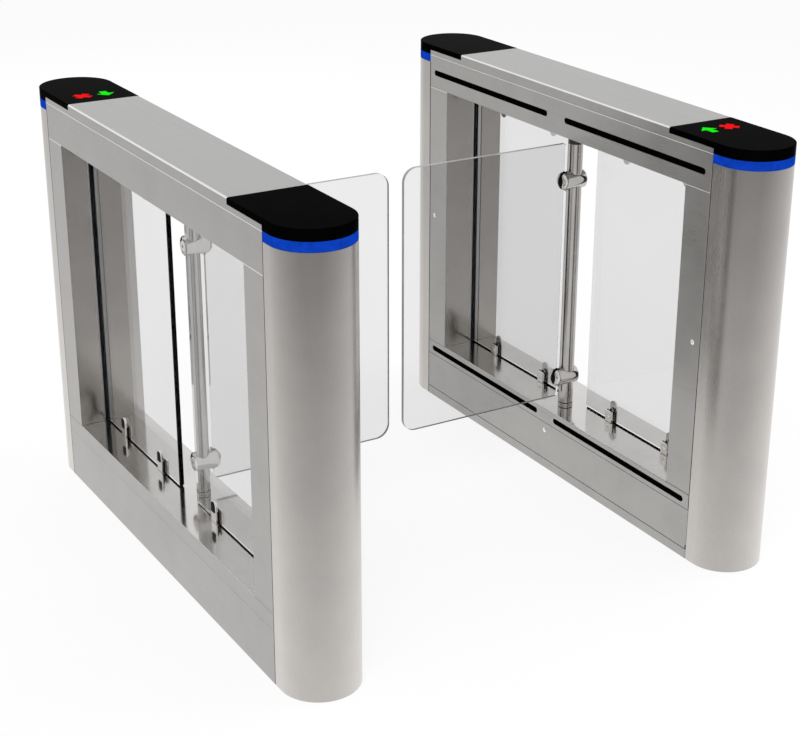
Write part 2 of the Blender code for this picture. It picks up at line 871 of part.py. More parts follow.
def drive_pinion():
    """Motor's pinion with its shaft, in the motor's frame, a gap facing the wheel's tooth."""
    first = mesh_angle + math.pi + math.pi / pinion_teeth
    mesh = prism(gear_outline(pinion_teeth, first), gear_bottom_height, gear_top)
    bottom = gear_bottom_height - pinion_shaft_depth
    top = gear_top - gear_face / 4
    shaft = cylinder((0, 0, (bottom + top) / 2), pinion_shaft_radius, top - bottom, steps=small_steps)
    return joined(mesh, shaft)


def gear_motor():
    """Gearmotor that hangs from the drive plate, in the motor's frame."""
    seat = plate_height - gap
    bottom = floor_sheet + motor_floor_room
    bore = pinion_shaft_radius + gap
    bore_bottom = gear_bottom_height - pinion_shaft_depth - gap
    profile = [(0, bore_bottom), (bore, bore_bottom), (bore, plate_height + pilot_height),
               (pilot_radius, plate_height + pilot_height), (pilot_radius, seat),
               (gearbox_radius, seat), (gearbox_radius, seat - gearbox_length),
               (motor_radius, seat - gearbox_length), (motor_radius, bottom), (0, bottom)]
    return turned(profile, end_steps)


def drive_bridge():
    """Plate on two legs that carries the shaft's lower bearing and the motor."""
    reach = half_width - plate_wall_room
    top = plate_height + plate_thickness
    foot = floor_sheet + gap
    foot_top = foot + plate_leg
    low_y = -plate_short_reach
    high_y = plate_long_reach
    outline = [(low_y - plate_foot, foot), (low_y + plate_leg, foot),
               (low_y + plate_leg, plate_height), (high_y - plate_leg, plate_height),
               (high_y - plate_leg, foot), (high_y + plate_foot, foot),
               (high_y + plate_foot, foot_top), (high_y, foot_top), (high_y, top), (low_y, top),
               (low_y, foot_top), (low_y - plate_foot, foot_top)]
    mesh = prism(outline, -reach, reach, "X")
    middle = plate_height + plate_thickness / 2
    boss = cylinder((post_x, 0, middle - bearing_length / 2), bearing_radius, bearing_length)
    shaft_hole = cylinder((post_x, 0, middle), shaft_radius + gap, 2 * bearing_length + overrun)
    pilot_hole = cylinder((pinion_x, pinion_y, middle), pilot_radius + gap, plate_thickness + overrun)
    return cut(joined(mesh, boss), shaft_hole, pilot_hole)


def access_door():
    """Drop-down panel on the lane side, in its pivot's frame, with end flanges and pins."""
    low = door_bottom - door_pivot_z
    high = door_top - door_pivot_z
    face = lane_face - door_pivot_x
    back = face + sheet
    flange_outer = bulkhead_inner - gap
    flange_inner = flange_outer - sheet
    mesh = box((face, -half_length, low), (back, half_length, high))
    for side in (-1, 1):
        near, far = sorted((side * flange_inner, side * flange_outer))
        flange = box((face + sheet / 2, near, -door_pin_radius * 2),
                     (back + door_flange_depth, far, high - door_flange_top_room))
        pin_length = flange_outer - flange_inner + sheet
        pin = cylinder((0, side * (flange_inner + pin_length / 2), 0), door_pin_radius, pin_length,
                       "Y", small_steps)
        near, far = sorted((side * flange_outer, side * (half_length + overrun)))
        notch = box((face - overrun, near, low - overrun), (back + overrun, far, door_notch_rise))
        mesh = joined(cut(mesh, notch), flange, pin)
    latch_hole = cylinder((face, 0, door_latch_height - door_pivot_z), latch_shaft_radius + gap,
                          overrun, "X", small_steps)
    return cut(mesh, latch_hole)


def latch():
    """Quarter-turn latch about X, in its own frame at the sheet's face, with its cam up."""
    inner = latch_cam_x - lane_face
    neck = -gap
    outer = neck - latch_head_height
    edge = latch_head_height / 2
    profile = [(0, -outer), (latch_head_radius - edge, -outer), (latch_head_radius, edge - outer),
               (latch_head_radius, -neck), (latch_shaft_radius, -neck), (latch_shaft_radius, -inner),
               (0, -inner)]
    stem = moved(turned(profile, small_steps), Matrix.Rotation(-math.pi / 2, 4, "Y"))
    half = latch_cam_half_width
    outline = [(half, 0), (half, latch_cam_length), (-half, latch_cam_length), (-half, 0)]
    cam = prism(outline, inner - latch_cam_thickness, inner, "X")
    return joined(stem, cam)


def control_unit():
    """Mounting plate on the tray's floor with the power supply, the controller and terminals."""
    low = floor_sheet + gap
    seat = low + unit_plate / 2
    half = half_width - unit_side_room
    mesh = box((-half, unit_start, low), (half, unit_end, low + unit_plate))
    start = unit_start + unit_plate
    supply_length = unit_length * supply_length_share
    half = half_width - supply_side_room
    supply = box((-half, start, seat), (half, start + supply_length, low + supply_height))
    end = unit_end - unit_plate
    controller_length = unit_length * controller_length_share
    half = half_width - controller_side_room
    controller = box((-half, end - controller_length, seat), (half, end, low + controller_height))
    mesh = joined(mesh, supply, controller)
    pitch = controller_length / (terminal_count + 1)
    for i in range(terminal_count):
        y = end - pitch * (i + 1)
        seat = low + controller_height - gap
        terminal = box((-half + unit_plate, y - terminal_length / 2, seat),
                       (-half + unit_plate + terminal_length, y + terminal_length / 2,
                        seat + terminal_height))
        mesh = joined(mesh, terminal)
    return mesh


clear_scene()
part = new_collection(part_name)
cutters = new_collection("cutters")

# Finishes: colour, metallic, roughness and, for glass, alpha
brushed = ((0.42, 0.41, 0.39), 1.0, 0.38)
polished = ((0.62, 0.59, 0.57), 1.0, 0.10)
satin = ((0.50, 0.49, 0.47), 1.0, 0.25)
zinc = ((0.45, 0.46, 0.48), 1.0, 0.45)
dark_metal = ((0.06, 0.06, 0.065), 0.6, 0.45)
black_gloss = ((0.005, 0.005, 0.006), 0.0, 0.08)
black_plastic = ((0.010, 0.010, 0.010), 0.0, 0.50)
blue_light = ((0.0, 0.04, 0.55), 0.0, 0.25)
sign_light = ((0.9, 0.01, 0.01), 0.0, 0.30)
clear_glass = ((0.80, 0.82, 0.82), 0.0, 0.03, 0.25)

half_turn = Matrix.Rotation(math.pi, 4, "Z")
pane_mesh = fixed_pane()
cover_mesh = end_cover()
latch_mesh = latch()
lower_clamps_mesh = pane_clamps()
fixed_pieces = (
    ("base_tray", base_tray(), brushed),
    ("base_rail", base_rail(), polished),
    ("window_frame", window_frame(), brushed),
    ("top_lid", top_lid(), brushed),
    ("plain_end_cover", cover_mesh, brushed),
    ("display_end_cover", flipped(cover_mesh, "Y"), brushed),
    ("plain_cap", end_cap(), black_gloss),
    ("display_cap", moved(display_cap(), half_turn), black_gloss),
    ("display_module", moved(display_module(), half_turn), sign_light),
    ("light_guide", light_guide(), blue_light),
    ("plain_end_pane", pane_mesh, clear_glass),
    ("display_end_pane", flipped(pane_mesh, "Y"), clear_glass),
    ("lower_pane_clamps", lower_clamps_mesh, satin),
    ("upper_pane_clamps", hung_pane_clamps(lower_clamps_mesh), satin),
    ("upper_sensor_strip", sensor_strip(upper_slot_height), black_gloss),
    ("lower_sensor_strip", sensor_strip(lower_slot_height), black_gloss),
    ("upper_bush", upper_bush(), black_plastic),
    ("drive_bridge", drive_bridge(), zinc),
    ("control_unit", control_unit(), dark_metal),
)
wing_pieces = (
    ("swing_post", swing_post(), satin),
    ("wing_glass", wing_glass(), clear_glass),
    ("upper_wing_clamp", wing_clamp(upper_clamp_height), satin),
    ("lower_wing_clamp", wing_clamp(lower_clamp_height), satin),
    ("drive_wheel", drive_wheel(), zinc),
)
motor_mesh = gear_motor()
pinion_mesh = drive_pinion()
door_mesh = access_door()
door_latch_mesh = moved(latch_mesh, Matrix.Rotation(-math.pi / 2, 4, "X"))
door_latch_place = (lane_face - door_pivot_x, 0, door_latch_height - door_pivot_z)

for side, sign, turn in (("right", 1, 0), ("left", -1, math.pi)):
    cabinet = pivot(side + "_cabinet", None, (sign * cabinet_x, 0, 0), turn)
    for name, mesh, finish in fixed_pieces:
        node(side + "_" + name, mesh, finish, cabinet)
    wing_axis = pivot(side + "_wing_axis", cabinet, (post_x, 0, 0))
    for name, mesh, finish in wing_pieces:
        node(side + "_" + name, mesh, finish, wing_axis)
    motor_axis = pivot(side + "_motor_axis", cabinet, (pinion_x, pinion_y, 0))
    node(side + "_gear_motor", motor_mesh, dark_metal, motor_axis)
    node(side + "_drive_pinion", pinion_mesh, zinc, motor_axis)
    door_axis = pivot(side + "_door_axis", cabinet, (door_pivot_x, 0, door_pivot_z))
    node(side + "_access_door", door_mesh, brushed, door_axis)
    door_latch_axis = pivot(side + "_door_latch_axis", door_axis, door_latch_place)
    node(side + "_door_latch", door_latch_mesh, satin, door_latch_axis)
    for end, station in (("plain", cover_latch_station), ("display", -cover_latch_station)):
        latch_axis = pivot(side + "_" + end + "_latch_axis", cabinet,
                           (lane_face, station, cover_latch_height))
        node(side + "_" + end + "_cover_latch", latch_mesh, satin, latch_axis)
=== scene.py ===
"""Dressed model of a swing-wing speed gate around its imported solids.

Metres, +Z up, X across the lane. Every piece is modelled once in the frame of the right
cabinet, whose lane side is towards -X, and turned half a turn about Z for the left one.
"""
import math

import bmesh
import bpy
from mathutils import Matrix, Vector


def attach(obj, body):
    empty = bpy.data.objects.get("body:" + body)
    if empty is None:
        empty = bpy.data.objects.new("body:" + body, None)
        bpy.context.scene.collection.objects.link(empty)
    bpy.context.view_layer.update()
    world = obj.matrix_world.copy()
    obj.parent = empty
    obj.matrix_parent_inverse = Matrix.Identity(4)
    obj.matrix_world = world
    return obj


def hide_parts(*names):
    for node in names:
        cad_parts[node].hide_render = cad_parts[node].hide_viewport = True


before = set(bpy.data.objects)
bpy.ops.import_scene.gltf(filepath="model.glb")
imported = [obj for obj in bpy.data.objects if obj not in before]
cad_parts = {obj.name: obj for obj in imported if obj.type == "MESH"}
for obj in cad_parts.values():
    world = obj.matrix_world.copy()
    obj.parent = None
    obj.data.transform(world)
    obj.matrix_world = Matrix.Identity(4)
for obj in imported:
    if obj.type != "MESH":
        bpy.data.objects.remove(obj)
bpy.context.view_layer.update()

# Camera
camera_place = (-1.98670, -3.40388, 1.99198)
camera_azimuth = -30.4349
camera_elevation = 22.28867
camera_roll = 0.0812
camera_lens = 78.088
sensor_width = 36.0

# Sizes of the cabinet
lane_width = 0.910
cabinet_width = 0.180
cabinet_length = 1.416
cabinet_height = 1.020
seam_station = 0.590
window_station = 0.504
cap_station = 0.436
kick_height = 0.024
panel_seam_height = 0.128
deck_height = 0.1693
window_top_height = 0.906
beam_top_height = 0.9945
skirt_top_height = 1.006
ring_height = 0.0205
sheet = 0.002
floor_sheet = 0.003
gap = 0.0003
slot_length = 0.532
slot_height = 0.015
slot_middle_gap = 0.073
upper_slot_height = 0.948
lower_slot_height = 0.1475
post_offset = 0.026
post_radius = 0.019
post_round = 0.0015
collar_height = 0.0052
collar_proud = 0.0005
groove_width = 0.0028
groove_sunk = 0.0009
shaft_radius = 0.015
shaft_bottom_height = 0.072
pivot_radius = 0.010
pivot_length = 0.0295
bush_drop = 0.0302
bush_bore_radius = 0.0103
bush_round = 0.0008
lower_clamp_height = 0.251
upper_clamp_height = 0.781
clamp_stations = (0.155, 0.383)
clamp_radius = 0.013
clamp_height = 0.055
clamp_lane_height = 0.030
clamp_half = 0.014
clamp_foot = 0.0027
clamp_room = 0.0024
clamp_close_room = 0.0006
clamp_round = 0.0016
clamp_screw = ((0, 0.0015), (0.0036, 0.0015), (0.0045, 0.0006), (0.0045, -0.0005), (0, -0.0005))
clamp_socket_radius = 0.0020
liner_near = 0.0003
liner_far = 0.0021
liner_proud = 0.0006
liner_foot = 0.0030
liner_end = 0.004
pad_half = 0.0085
pad_inset = 0.003
pad_overlap = 0.004
pad_thickness = 0.0013
pad_room = 0.0014
pad_corner = 0.002
pane_x = 0.0115
pane_half = 0.006
pane_free_station = 0.050
pane_insert = 0.010
pane_top_gap = 0.006
strip_height = 0.0032
strip_half = 0.003
strip_end_gap = 0.0015
pocket_half = 0.017
pocket_depth = 0.020
seal_reach = 0.0120
seal_sunk = 0.0015
seal_round = 0.0010
cover_latch_station = 0.564
cover_latch_height = 0.546
door_latch_height = 0.106
cap_top = 0.003
sign_size = 0.040
sign_stroke = 0.013
# Margin by which the lit signs are grown all round: a painted glow
sign_glow_margin = 0.0022
sign_spread = 0.029
sign_station = 0.500

half_width = cabinet_width / 2
half_length = seam_station - gap / 2
end_station = cabinet_length / 2 - half_width
cabinet_x = (lane_width + cabinet_width) / 2
lane_face = -half_width
post_x = -post_offset

# Small sizes of the cabinet's pieces
tray_over_seam = 0.0004
rail_over_seam = 0.0007
door_over_kick = 0.0013
cover_lip = 0.016
groove_half = 0.0036
groove_over = 0.0012
groove_depth = 0.0015
seam_foot = 0.0015
seam_strip_half = 0.0012
seam_strip_sunk = 0.0005
seam_strip_depth = 0.0014
lid_edge_radius = 0.004
cap_drop = 0.00015
cap_rim_radius = 0.002
ring_wall = 0.005
lens_sunk = 0.0006
lens_rim = 0.006
lens_depth = 0.010
arrow_tip = 0.0001

# Display board
board_start = 0.034
board_end = 0.108
board_half = 0.052
board_thickness = 0.002
antenna_length = 0.065
antenna_end = 0.001
antenna_half = 0.040
antenna_width = 0.006
antenna_thickness = 0.003
lamp_radius = 0.0018
lamp_height = 0.002
lamp_places = (-0.036, -0.022, 0.022, 0.036)
lamp_row = 0.007

# Wing and its clamps; starts, reaches and flats are from the post's middle
wing_half = 0.005
wing_gap = 0.0408
wing_start = 0.0307
wing_bottom = 0.1995
wing_top = 0.878
wing_outer_radius = 0.035
wing_inner_radius = 0.008
jaw_radius = 0.0235
jaw_nose = 0.011
jaw_lane_reach = 0.0435
jaw_outer_reach = 0.025
jaw_corner = 0.003
jaw_slot_half = 0.0068
jaw_slot_start = 0.0290
jaw_split_half = 0.0004
jaw_disc = ((0, 0.0030), (0.0125, 0.0030), (0.0140, 0.0018), (0.0140, 0.0003), (0, 0.0003))
jaw_socket_radius = 0.0042
jaw_socket_floor = 0.0012
gasket_radius = 0.0258
gasket_flat = 0.0213
gasket_start = 0.0300
gasket_near = 0.0053
gasket_far = 0.0067
gasket_spread = 1.02

# Access door and locks
notch_top = 0.0355
flange_bottom = 0.0295
flange_top = 0.1185
flange_inner = 0.078
pin_length = 0.004
pin_radius = 0.002
pin_x = 0.0865
pin_height = 0.0335
lock_dome = ((0, 0.0025), (0.0022, 0.0024), (0.0042, 0.0019), (0.0056, 0.0011), (0.0064, 0.0003))
lock_shaft_radius = 0.0045
lock_shaft_length = 0.0053
keyway_half = 0.0005
keyway_reach = 0.0024
keyway_floor = 0.0012
cam_near = 0.0033
cam_half = 0.005
cam_length = 0.0250
head_clear = 0.006

# Studio
ambient_strength = 0.70
floor_reach = 30.0
floor_depth = 0.02
floor_drop = 0.0001
floor_white_share = 0.85
lamp_size = 3.0
lamp_aim = (0, 0, 0.5)
lamps = (("key", (-3.0, -3.5, 4.5), 130.0), ("fill", (3.5, -1.5, 4.0), 70.0),
         ("rim", (0.5, 4.5, 3.5), 60.0))

# How edges and curves are made
edge_round = 0.0007
seam_round = 0.0009
fine_round = 0.0004
ring_round = 0.0005
glass_round = 0.0008
jaw_round = 0.0006
tolerance = 0.0001
steep_slope = 0.15
level_slope = 0.97
ground_slope = 0.9
post_side_slope = 0.3
sharp_angle = 32
overrun = 0.07
roll_radius = 0.0016
curve_steps = 48
turn_steps = 48
fine_steps = 8
weld_distance = 0.00001

# How noise is spread and stretched
noise_low = 0.3
noise_high = 0.7
even = (1, 1, 1)
along_y = (700, 4, 700)
along_z = (700, 700, 4)
drawn = (500, 6, 500)
fine_drawn = (900, 900, 60)

side_matrices = {
    "right": Matrix.Translation((cabinet_x, 0, 0)),
    "left": Matrix.Rotation(math.pi, 4, "Z") @ Matrix.Translation((cabinet_x, 0, 0)),
}


def tidy_mesh(bm, name="shape"):
    """Weld, point the faces out and give back a mesh."""
    bmesh.ops.remove_doubles(bm, verts=bm.verts, dist=weld_distance)
    bmesh.ops.recalc_face_normals(bm, faces=bm.faces)
    mesh = bpy.data.meshes.new(name)
    bm.to_mesh(mesh)
    bm.free()
    return mesh


def evaluated(work):
    """Turn a working object into a plain mesh and remove it."""
    bpy.context.view_layer.update()
    depsgraph = bpy.context.evaluated_depsgraph_get()
    mesh = bpy.data.meshes.new_from_object(work.evaluated_get(depsgraph), depsgraph=depsgraph)
    mesh.transform(work.matrix_world)
    bpy.data.objects.remove(work, do_unlink=True)
    bm = bmesh.new()
    bm.from_mesh(mesh)
    return tidy_mesh(bm)


def new_object(data, name="work"):
    """An object in the scene, a working one unless it is named."""
    made = bpy.data.objects.new(name, data)
    bpy.context.scene.collection.objects.link(made)
    return made


def box(low, high):
    """A box between two corners."""
    size = Vector(high) - Vector(low)
    middle = (Vector(high) + Vector(low)) / 2
    bm = bmesh.new()
    bmesh.ops.create_cube(bm, size=1, matrix=Matrix.Translation(middle) @ Matrix.Diagonal((*size, 1)))
    return tidy_mesh(bm)


def axis_turn(axis):
    """The rotation that lays Z along another axis."""
    turns = {
        "X": Matrix(((0, 0, 1, 0), (1, 0, 0, 0), (0, 1, 0, 0), (0, 0, 0, 1))),
        "Y": Matrix(((1, 0, 0, 0), (0, 0, -1, 0), (0, 1, 0, 0), (0, 0, 0, 1))),
        "Z": Matrix.Identity(4),
    }
    return turns[axis]


def prism(outlines, low, high, axis="Z"):
    """Flat outlines, the first with the others as holes, filled and extruded between two levels."""
    if isinstance(outlines[0][0], (int, float)):
        outlines = [outlines]
    curve = bpy.data.curves.new("outline", "CURVE")
    curve.dimensions = "2D"
    curve.fill_mode = "BOTH"
    curve.extrude = (high - low) / 2
    for outline in outlines:
        spline = curve.splines.new("POLY")
        spline.points.add(len(outline) - 1)
        for point, (u, v) in zip(spline.points, outline):
            point.co = (u, v, 0, 1)
        spline.use_cyclic_u = True
    level = (high + low) / 2
    offset = {"X": (level, 0, 0), "Y": (0, level, 0), "Z": (0, 0, level)}[axis]
    work = new_object(curve)
    work.matrix_world = Matrix.Translation(offset) @ axis_turn(axis)
    mesh = evaluated(work)
    bm = bmesh.new()
    bm.from_mesh(mesh)
    bmesh.ops.dissolve_limit(bm, angle_limit=math.radians(0.5), verts=bm.verts, edges=bm.edges)
    return tidy_mesh(bm)


def turned(profile, steps=turn_steps):
    """A profile of (radius, height) points turned about Z; it closes unless it meets the axis."""
    bm = bmesh.new()
    points = [bm.verts.new((radius, 0, height)) for radius, height in profile]
    pairs = list(zip(points, points[1:]))
    if profile[0][0] > 0:
        pairs.append((points[-1], points[0]))
    for pair in pairs:
        bm.edges.new(pair)
    mesh = bpy.data.meshes.new("profile")
    bm.to_mesh(mesh)
    bm.free()
    work = new_object(mesh)
    screw = work.modifiers.new("turn", "SCREW")
    screw.steps = steps
    screw.render_steps = steps
    screw.use_merge_vertices = True
    screw.merge_threshold = weld_distance
    return evaluated(work)


def boolean(mesh, other, operation):
    """Boolean of two meshes."""
    work = new_object(mesh)
    tool = new_object(other)
    modifier = work.modifiers.new("boolean", "BOOLEAN")
    modifier.operation = operation
    modifier.solver = "EXACT"
    modifier.object = tool
    result = evaluated(work)
    bpy.data.objects.remove(tool, do_unlink=True)
    return result


def cut(mesh, *others):
    """The mesh less each of the others."""
    for other in others:
        mesh = boolean(mesh, other, "DIFFERENCE")
    return mesh


def moved(mesh, matrix):
    """A copy of a mesh, moved, with its faces out."""
    bm = bmesh.new()
    bm.from_mesh(mesh)
    bm.transform(matrix)
    if matrix.determinant() < 0:
        bmesh.ops.reverse_faces(bm, faces=bm.faces)
    copy = mesh.copy()
    bm.to_mesh(copy)
    bm.free()
    return copy


def shifted(mesh, x=0, y=0, z=0):
    """A copy of a mesh, shifted."""
    return moved(mesh, Matrix.Translation((x, y, z)))


def flipped(mesh, axis):
    """A copy of a mesh, mirrored across the plane through the origin square to an axis."""
    scale = {"X": (-1, 1, 1, 1), "Y": (1, -1, 1, 1), "Z": (1, 1, -1, 1)}[axis]
    return moved(mesh, Matrix.Diagonal(scale))


def grouped(*meshes):
    """Several meshes in one."""
    bm = bmesh.new()
    for mesh in meshes:
        bm.from_mesh(mesh)
    mesh = bpy.data.meshes.new("group")
    bm.to_mesh(mesh)
    bm.free()
    return mesh


def both_ends(mesh):
    """A mesh at +Y and its mirror image at -Y."""
    return grouped(mesh, flipped(mesh, "Y"))


def softened(mesh, width, segments=2, angle=40):
    """The mesh with its sharp edges rounded."""
    work = new_object(mesh)
    bevel = work.modifiers.new("edges", "BEVEL")
    bevel.width = width
    bevel.segments = segments
    bevel.limit_method = "ANGLE"
    bevel.angle_limit = math.radians(angle)
    return evaluated(work)


def rolled_edge(mesh, level):
    """The mesh with the long outer edges at a level rolled over."""
    bm = bmesh.new()
    bm.from_mesh(mesh)
    rim = [edge for edge in bm.edges
           if all(abs(vert.co.z - level) < tolerance and abs(vert.co.x) > half_width - tolerance
                  for vert in edge.verts)]
    bmesh.ops.bevel(bm, geom=rim, offset=roll_radius, segments=4, profile=0.5, affect="EDGES")
    return tidy_mesh(bm)


def marked(mesh, index, test):
    """The mesh with another finish on the faces whose centre and normal pass a test."""
    for face in mesh.polygons:
        if test(face.center, face.normal):
            face.material_index = index
    return mesh


def is_rolled(level):
    """A test for faces of a rolled edge at a level."""
    return lambda centre, normal: (steep_slope < normal.z < level_slope
                                   and abs(centre.z - level) < roll_radius)


def arc(centre, radius, start, end, steps=fine_steps):
    """Points on an arc, angles in degrees, both ends included."""
    points = []
    for i in range(steps + 1):
        angle = math.radians(start + (end - start) * i / steps)
        points.append((centre[0] + radius * math.cos(angle), centre[1] + radius * math.sin(angle)))
    return points


def mirrored(points):
    """An outline's points followed by their mirror image in u, which closes it."""
    return points + [(-u, v) for u, v in reversed(points)]


def rectangle(low, high):
    """A rectangle's outline."""
    return [(low[0], low[1]), (high[0], low[1]), (high[0], high[1]), (low[0], high[1])]


def end_outline(start, inset=0):
    """The plan of a cabinet's round end, straight from a station and then half round."""
    radius = half_width - inset
    return ([(radius, start)] + arc((0, end_station), radius, 0, 180, curve_steps)
            + [(-radius, start)])


def rounded_rectangle(low, high, radii):
    """A rectangle with its own radius at each corner: low-low, high-low, high-high, low-high."""
    corners = [(low[0], low[1], 1, 1, 180), (high[0], low[1], -1, 1, 270),
               (high[0], high[1], -1, -1, 0), (low[0], high[1], 1, -1, 90)]
    points = []
    for (u, v, towards_u, towards_v, start), radius in zip(corners, radii):
        centre = (u + towards_u * radius, v + towards_v * radius)
        points += arc(centre, radius, start, start + 90, fine_steps * 2)
    return points


def stadium(centre, length, height):
    """A slot's outline with half-round ends."""
    radius = height / 2
    reach = length / 2 - radius
    u, v = centre
    return arc((u + reach, v), radius, -90, 90) + arc((u - reach, v), radius, 90, 270)


def slot_stations():
    """Middles of the two sensor slots along the cabinet."""
    reach = (slot_middle_gap + slot_length) / 2
    return (-reach, reach)


def material(name):
    """A node material with its Principled shader."""
    made = bpy.data.materials.new(name)
    made.use_nodes = True
    return made, made.node_tree, made.node_tree.nodes["Principled BSDF"]


def fill(made, values):
    """Set some inputs of a node."""
    for key, value in values.items():
        made.inputs[key].default_value = value


def add(tree, kind, **values):
    """A node with some of its inputs or properties set."""
    made = tree.nodes.new(kind)
    for key, value in values.items():
        if key in made.inputs:
            made.inputs[key].default_value = value
        else:
            setattr(made, key, value)
    return made


def noise(tree, stretch, scale, detail=4.0, roughness=0.6):
    """Noise over the object's own coordinates, stretched along one axis or more."""
    coordinates = add(tree, "ShaderNodeTexCoord")
    mapping = add(tree, "ShaderNodeMapping", Scale=stretch)
    made = add(tree, "ShaderNodeTexNoise", Scale=scale, Detail=detail, Roughness=roughness)
    tree.links.new(coordinates.outputs["Object"], mapping.inputs["Vector"])
    tree.links.new(mapping.outputs["Vector"], made.inputs["Vector"])
    return made.outputs["Fac"]


def spread(tree, value, low, high):
    """A 0 to 1 value spread over a range."""
    made = add(tree, "ShaderNodeMapRange")
    fill(made, {"From Min": noise_low, "From Max": noise_high, "To Min": low, "To Max": high})
    tree.links.new(value, made.inputs["Value"])
    return made.outputs["Result"]


def tint(tree, value, dark, light):
    """A 0 to 1 value turned into a colour between two."""
    made = add(tree, "ShaderNodeMix", data_type="RGBA")
    tree.links.new(value, made.inputs["Factor"])
    fill(made, {6: (*dark, 1), 7: (*light, 1)})
    return made.outputs[2]


def bump(tree, shader, value, strength, distance):
    """Fine relief on the shader's normal."""
    made = add(tree, "ShaderNodeBump", Strength=strength, Distance=distance)
    tree.links.new(value, made.inputs["Height"])
    tree.links.new(made.outputs["Normal"], shader.inputs["Normal"])


def painted_height_shade(tree, low, high):
    """Painted shade: a colour factor that goes from one value at the floor to another at the cabinet's top.
    """
    coordinates = add(tree, "ShaderNodeTexCoord")
    parts = add(tree, "ShaderNodeSeparateXYZ")
    made = add(tree, "ShaderNodeMapRange")
    fill(made, {"From Max": cabinet_height, "To Min": low, "To Max": high})
    tree.links.new(coordinates.outputs["Object"], parts.inputs["Vector"])
    tree.links.new(parts.outputs["Z"], made.inputs["Value"])
    return made.outputs["Result"]


def painted_grazing_sheen(tree, strength):
    """Painted sheen: a colour factor that rises from zero on a facing surface to the strength on a grazing
    one.
    """
    weight = add(tree, "ShaderNodeLayerWeight", Blend=0.5)
    facing = add(tree, "ShaderNodeMath", operation="SUBTRACT")
    fill(facing, {0: 1.0})
    square = add(tree, "ShaderNodeMath", operation="POWER")
    fill(square, {1: 2.0})
    made = add(tree, "ShaderNodeMapRange")
    fill(made, {"From Max": 0.86, "To Min": strength, "To Max": 0.0})
    tree.links.new(weight.outputs["Facing"], facing.inputs[1])
    tree.links.new(facing.outputs[0], square.inputs[0])
    tree.links.new(square.outputs[0], made.inputs["Value"])
    return made.outputs["Result"]


def scaled(tree, colour, value):
    """A colour times a value."""
    made = add(tree, "ShaderNodeVectorMath", operation="SCALE")
    tree.links.new(colour, made.inputs[0])
    tree.links.new(value, made.inputs["Scale"])
    return made.outputs[0]


def steel(name, dark, light, roughness, grain, relief=0.10, shade_range=(1.0, 1.0), painted_sheen=0.0):
    """Steel with a drawn grain and faint blotches; its colour may carry painted shade that changes with
    height and a painted sheen at grazing angles.
    """
    made, tree, shader = material(name)
    fill(shader, {"Metallic": 1.0})
    fine = noise(tree, grain, scale=1.0, detail=6.0)
    blotch = noise(tree, even, scale=7.0, detail=3.0)
    # Painted shade by height, plus any painted sheen, scales the base colour
    tone = painted_height_shade(tree, *shade_range)
    if painted_sheen:
        total = add(tree, "ShaderNodeMath", operation="ADD")
        tree.links.new(tone, total.inputs[0])
        tree.links.new(painted_grazing_sheen(tree, painted_sheen), total.inputs[1])
        tone = total.outputs[0]
    colour = tint(tree, spread(tree, blotch, 0, 1), dark, light)
    tree.links.new(scaled(tree, colour, tone), shader.inputs["Base Color"])
    low = spread(tree, fine, roughness[0], roughness[1])
    smear = spread(tree, blotch, -0.02, 0.03)
    total = add(tree, "ShaderNodeMath", operation="ADD")
    tree.links.new(low, total.inputs[0])
    tree.links.new(smear, total.inputs[1])
    tree.links.new(total.outputs[0], shader.inputs["Roughness"])
    bump(tree, shader, fine, relief, distance=0.0002)
    return made


def plastic(name, dark, light, roughness, scale=900.0, relief=0.05, specular=0.5):
    """Moulded plastic or rubber with a fine texture."""
    made, tree, shader = material(name)
    fine = noise(tree, even, scale, detail=3.0)
    blotch = noise(tree, even, scale=14.0, detail=4.0)
    tree.links.new(tint(tree, spread(tree, blotch, 0, 1), dark, light), shader.inputs["Base Color"])
    tree.links.new(spread(tree, blotch, roughness[0], roughness[1]), shader.inputs["Roughness"])
    fill(shader, {"Specular IOR Level": specular})
    bump(tree, shader, fine, relief, distance=0.0001)
    return made


def lit(name, dark, light, strength):
    """A lit diffuser whose colour varies a little with the lamps behind it."""
    made, tree, shader = material(name)
    cells = noise(tree, even, scale=60.0, detail=2.0)
    colour = tint(tree, spread(tree, cells, 0, 1), dark, light)
    tree.links.new(colour, shader.inputs["Emission Color"])
    fill(shader, {"Base Color": (0.004, 0.004, 0.004, 1), "Emission Strength": strength,
                  "Specular IOR Level": 0.0, "Roughness": 0.35})
    bump(tree, shader, cells, strength=0.02, distance=0.0002)
    return made


def glass(name, tone, roughness=0.0):
    """Tempered glass with a faint smear."""
    made, tree, shader = material(name)
    smear = noise(tree, even, scale=5.0, detail=3.0)
    low = tuple(part * 0.985 for part in tone)
    tree.links.new(tint(tree, spread(tree, smear, 0, 1), low, tone), shader.inputs["Base Color"])
    fill(shader, {"Transmission Weight": 1.0, "IOR": 1.25, "Roughness": roughness})
    return made


def piece(name, mesh, finish, nodes=(), body="cabinets", sides=("right", "left")):
    """One piece in each cabinet, riding on its body and standing for its solids there."""
    finishes = finish if isinstance(finish, (list, tuple)) else [finish]
    for side in sides:
        data = moved(mesh, side_matrices[side])
        data.shade_smooth()
        data.set_sharp_from_angle(angle=math.radians(sharp_angle))
        for entry in finishes:
            data.materials.append(entry)
        item = new_object(data, side + "_" + name)
        normals = item.modifiers.new("normals", "WEIGHTED_NORMAL")
        normals.keep_sharp = True
        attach(item, body if body == "cabinets" else side + "_" + body)
        if nodes:
            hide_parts(*[side + "_" + node for node in nodes])


def end_pieces(name, mesh, finish, node):
    """A piece at +Y, the plain end, and its mirror image at the display end."""
    piece("plain_" + name, mesh, finish, ["plain_" + node])
    piece("display_" + name, flipped(mesh, "Y"), finish, ["display_" + node])


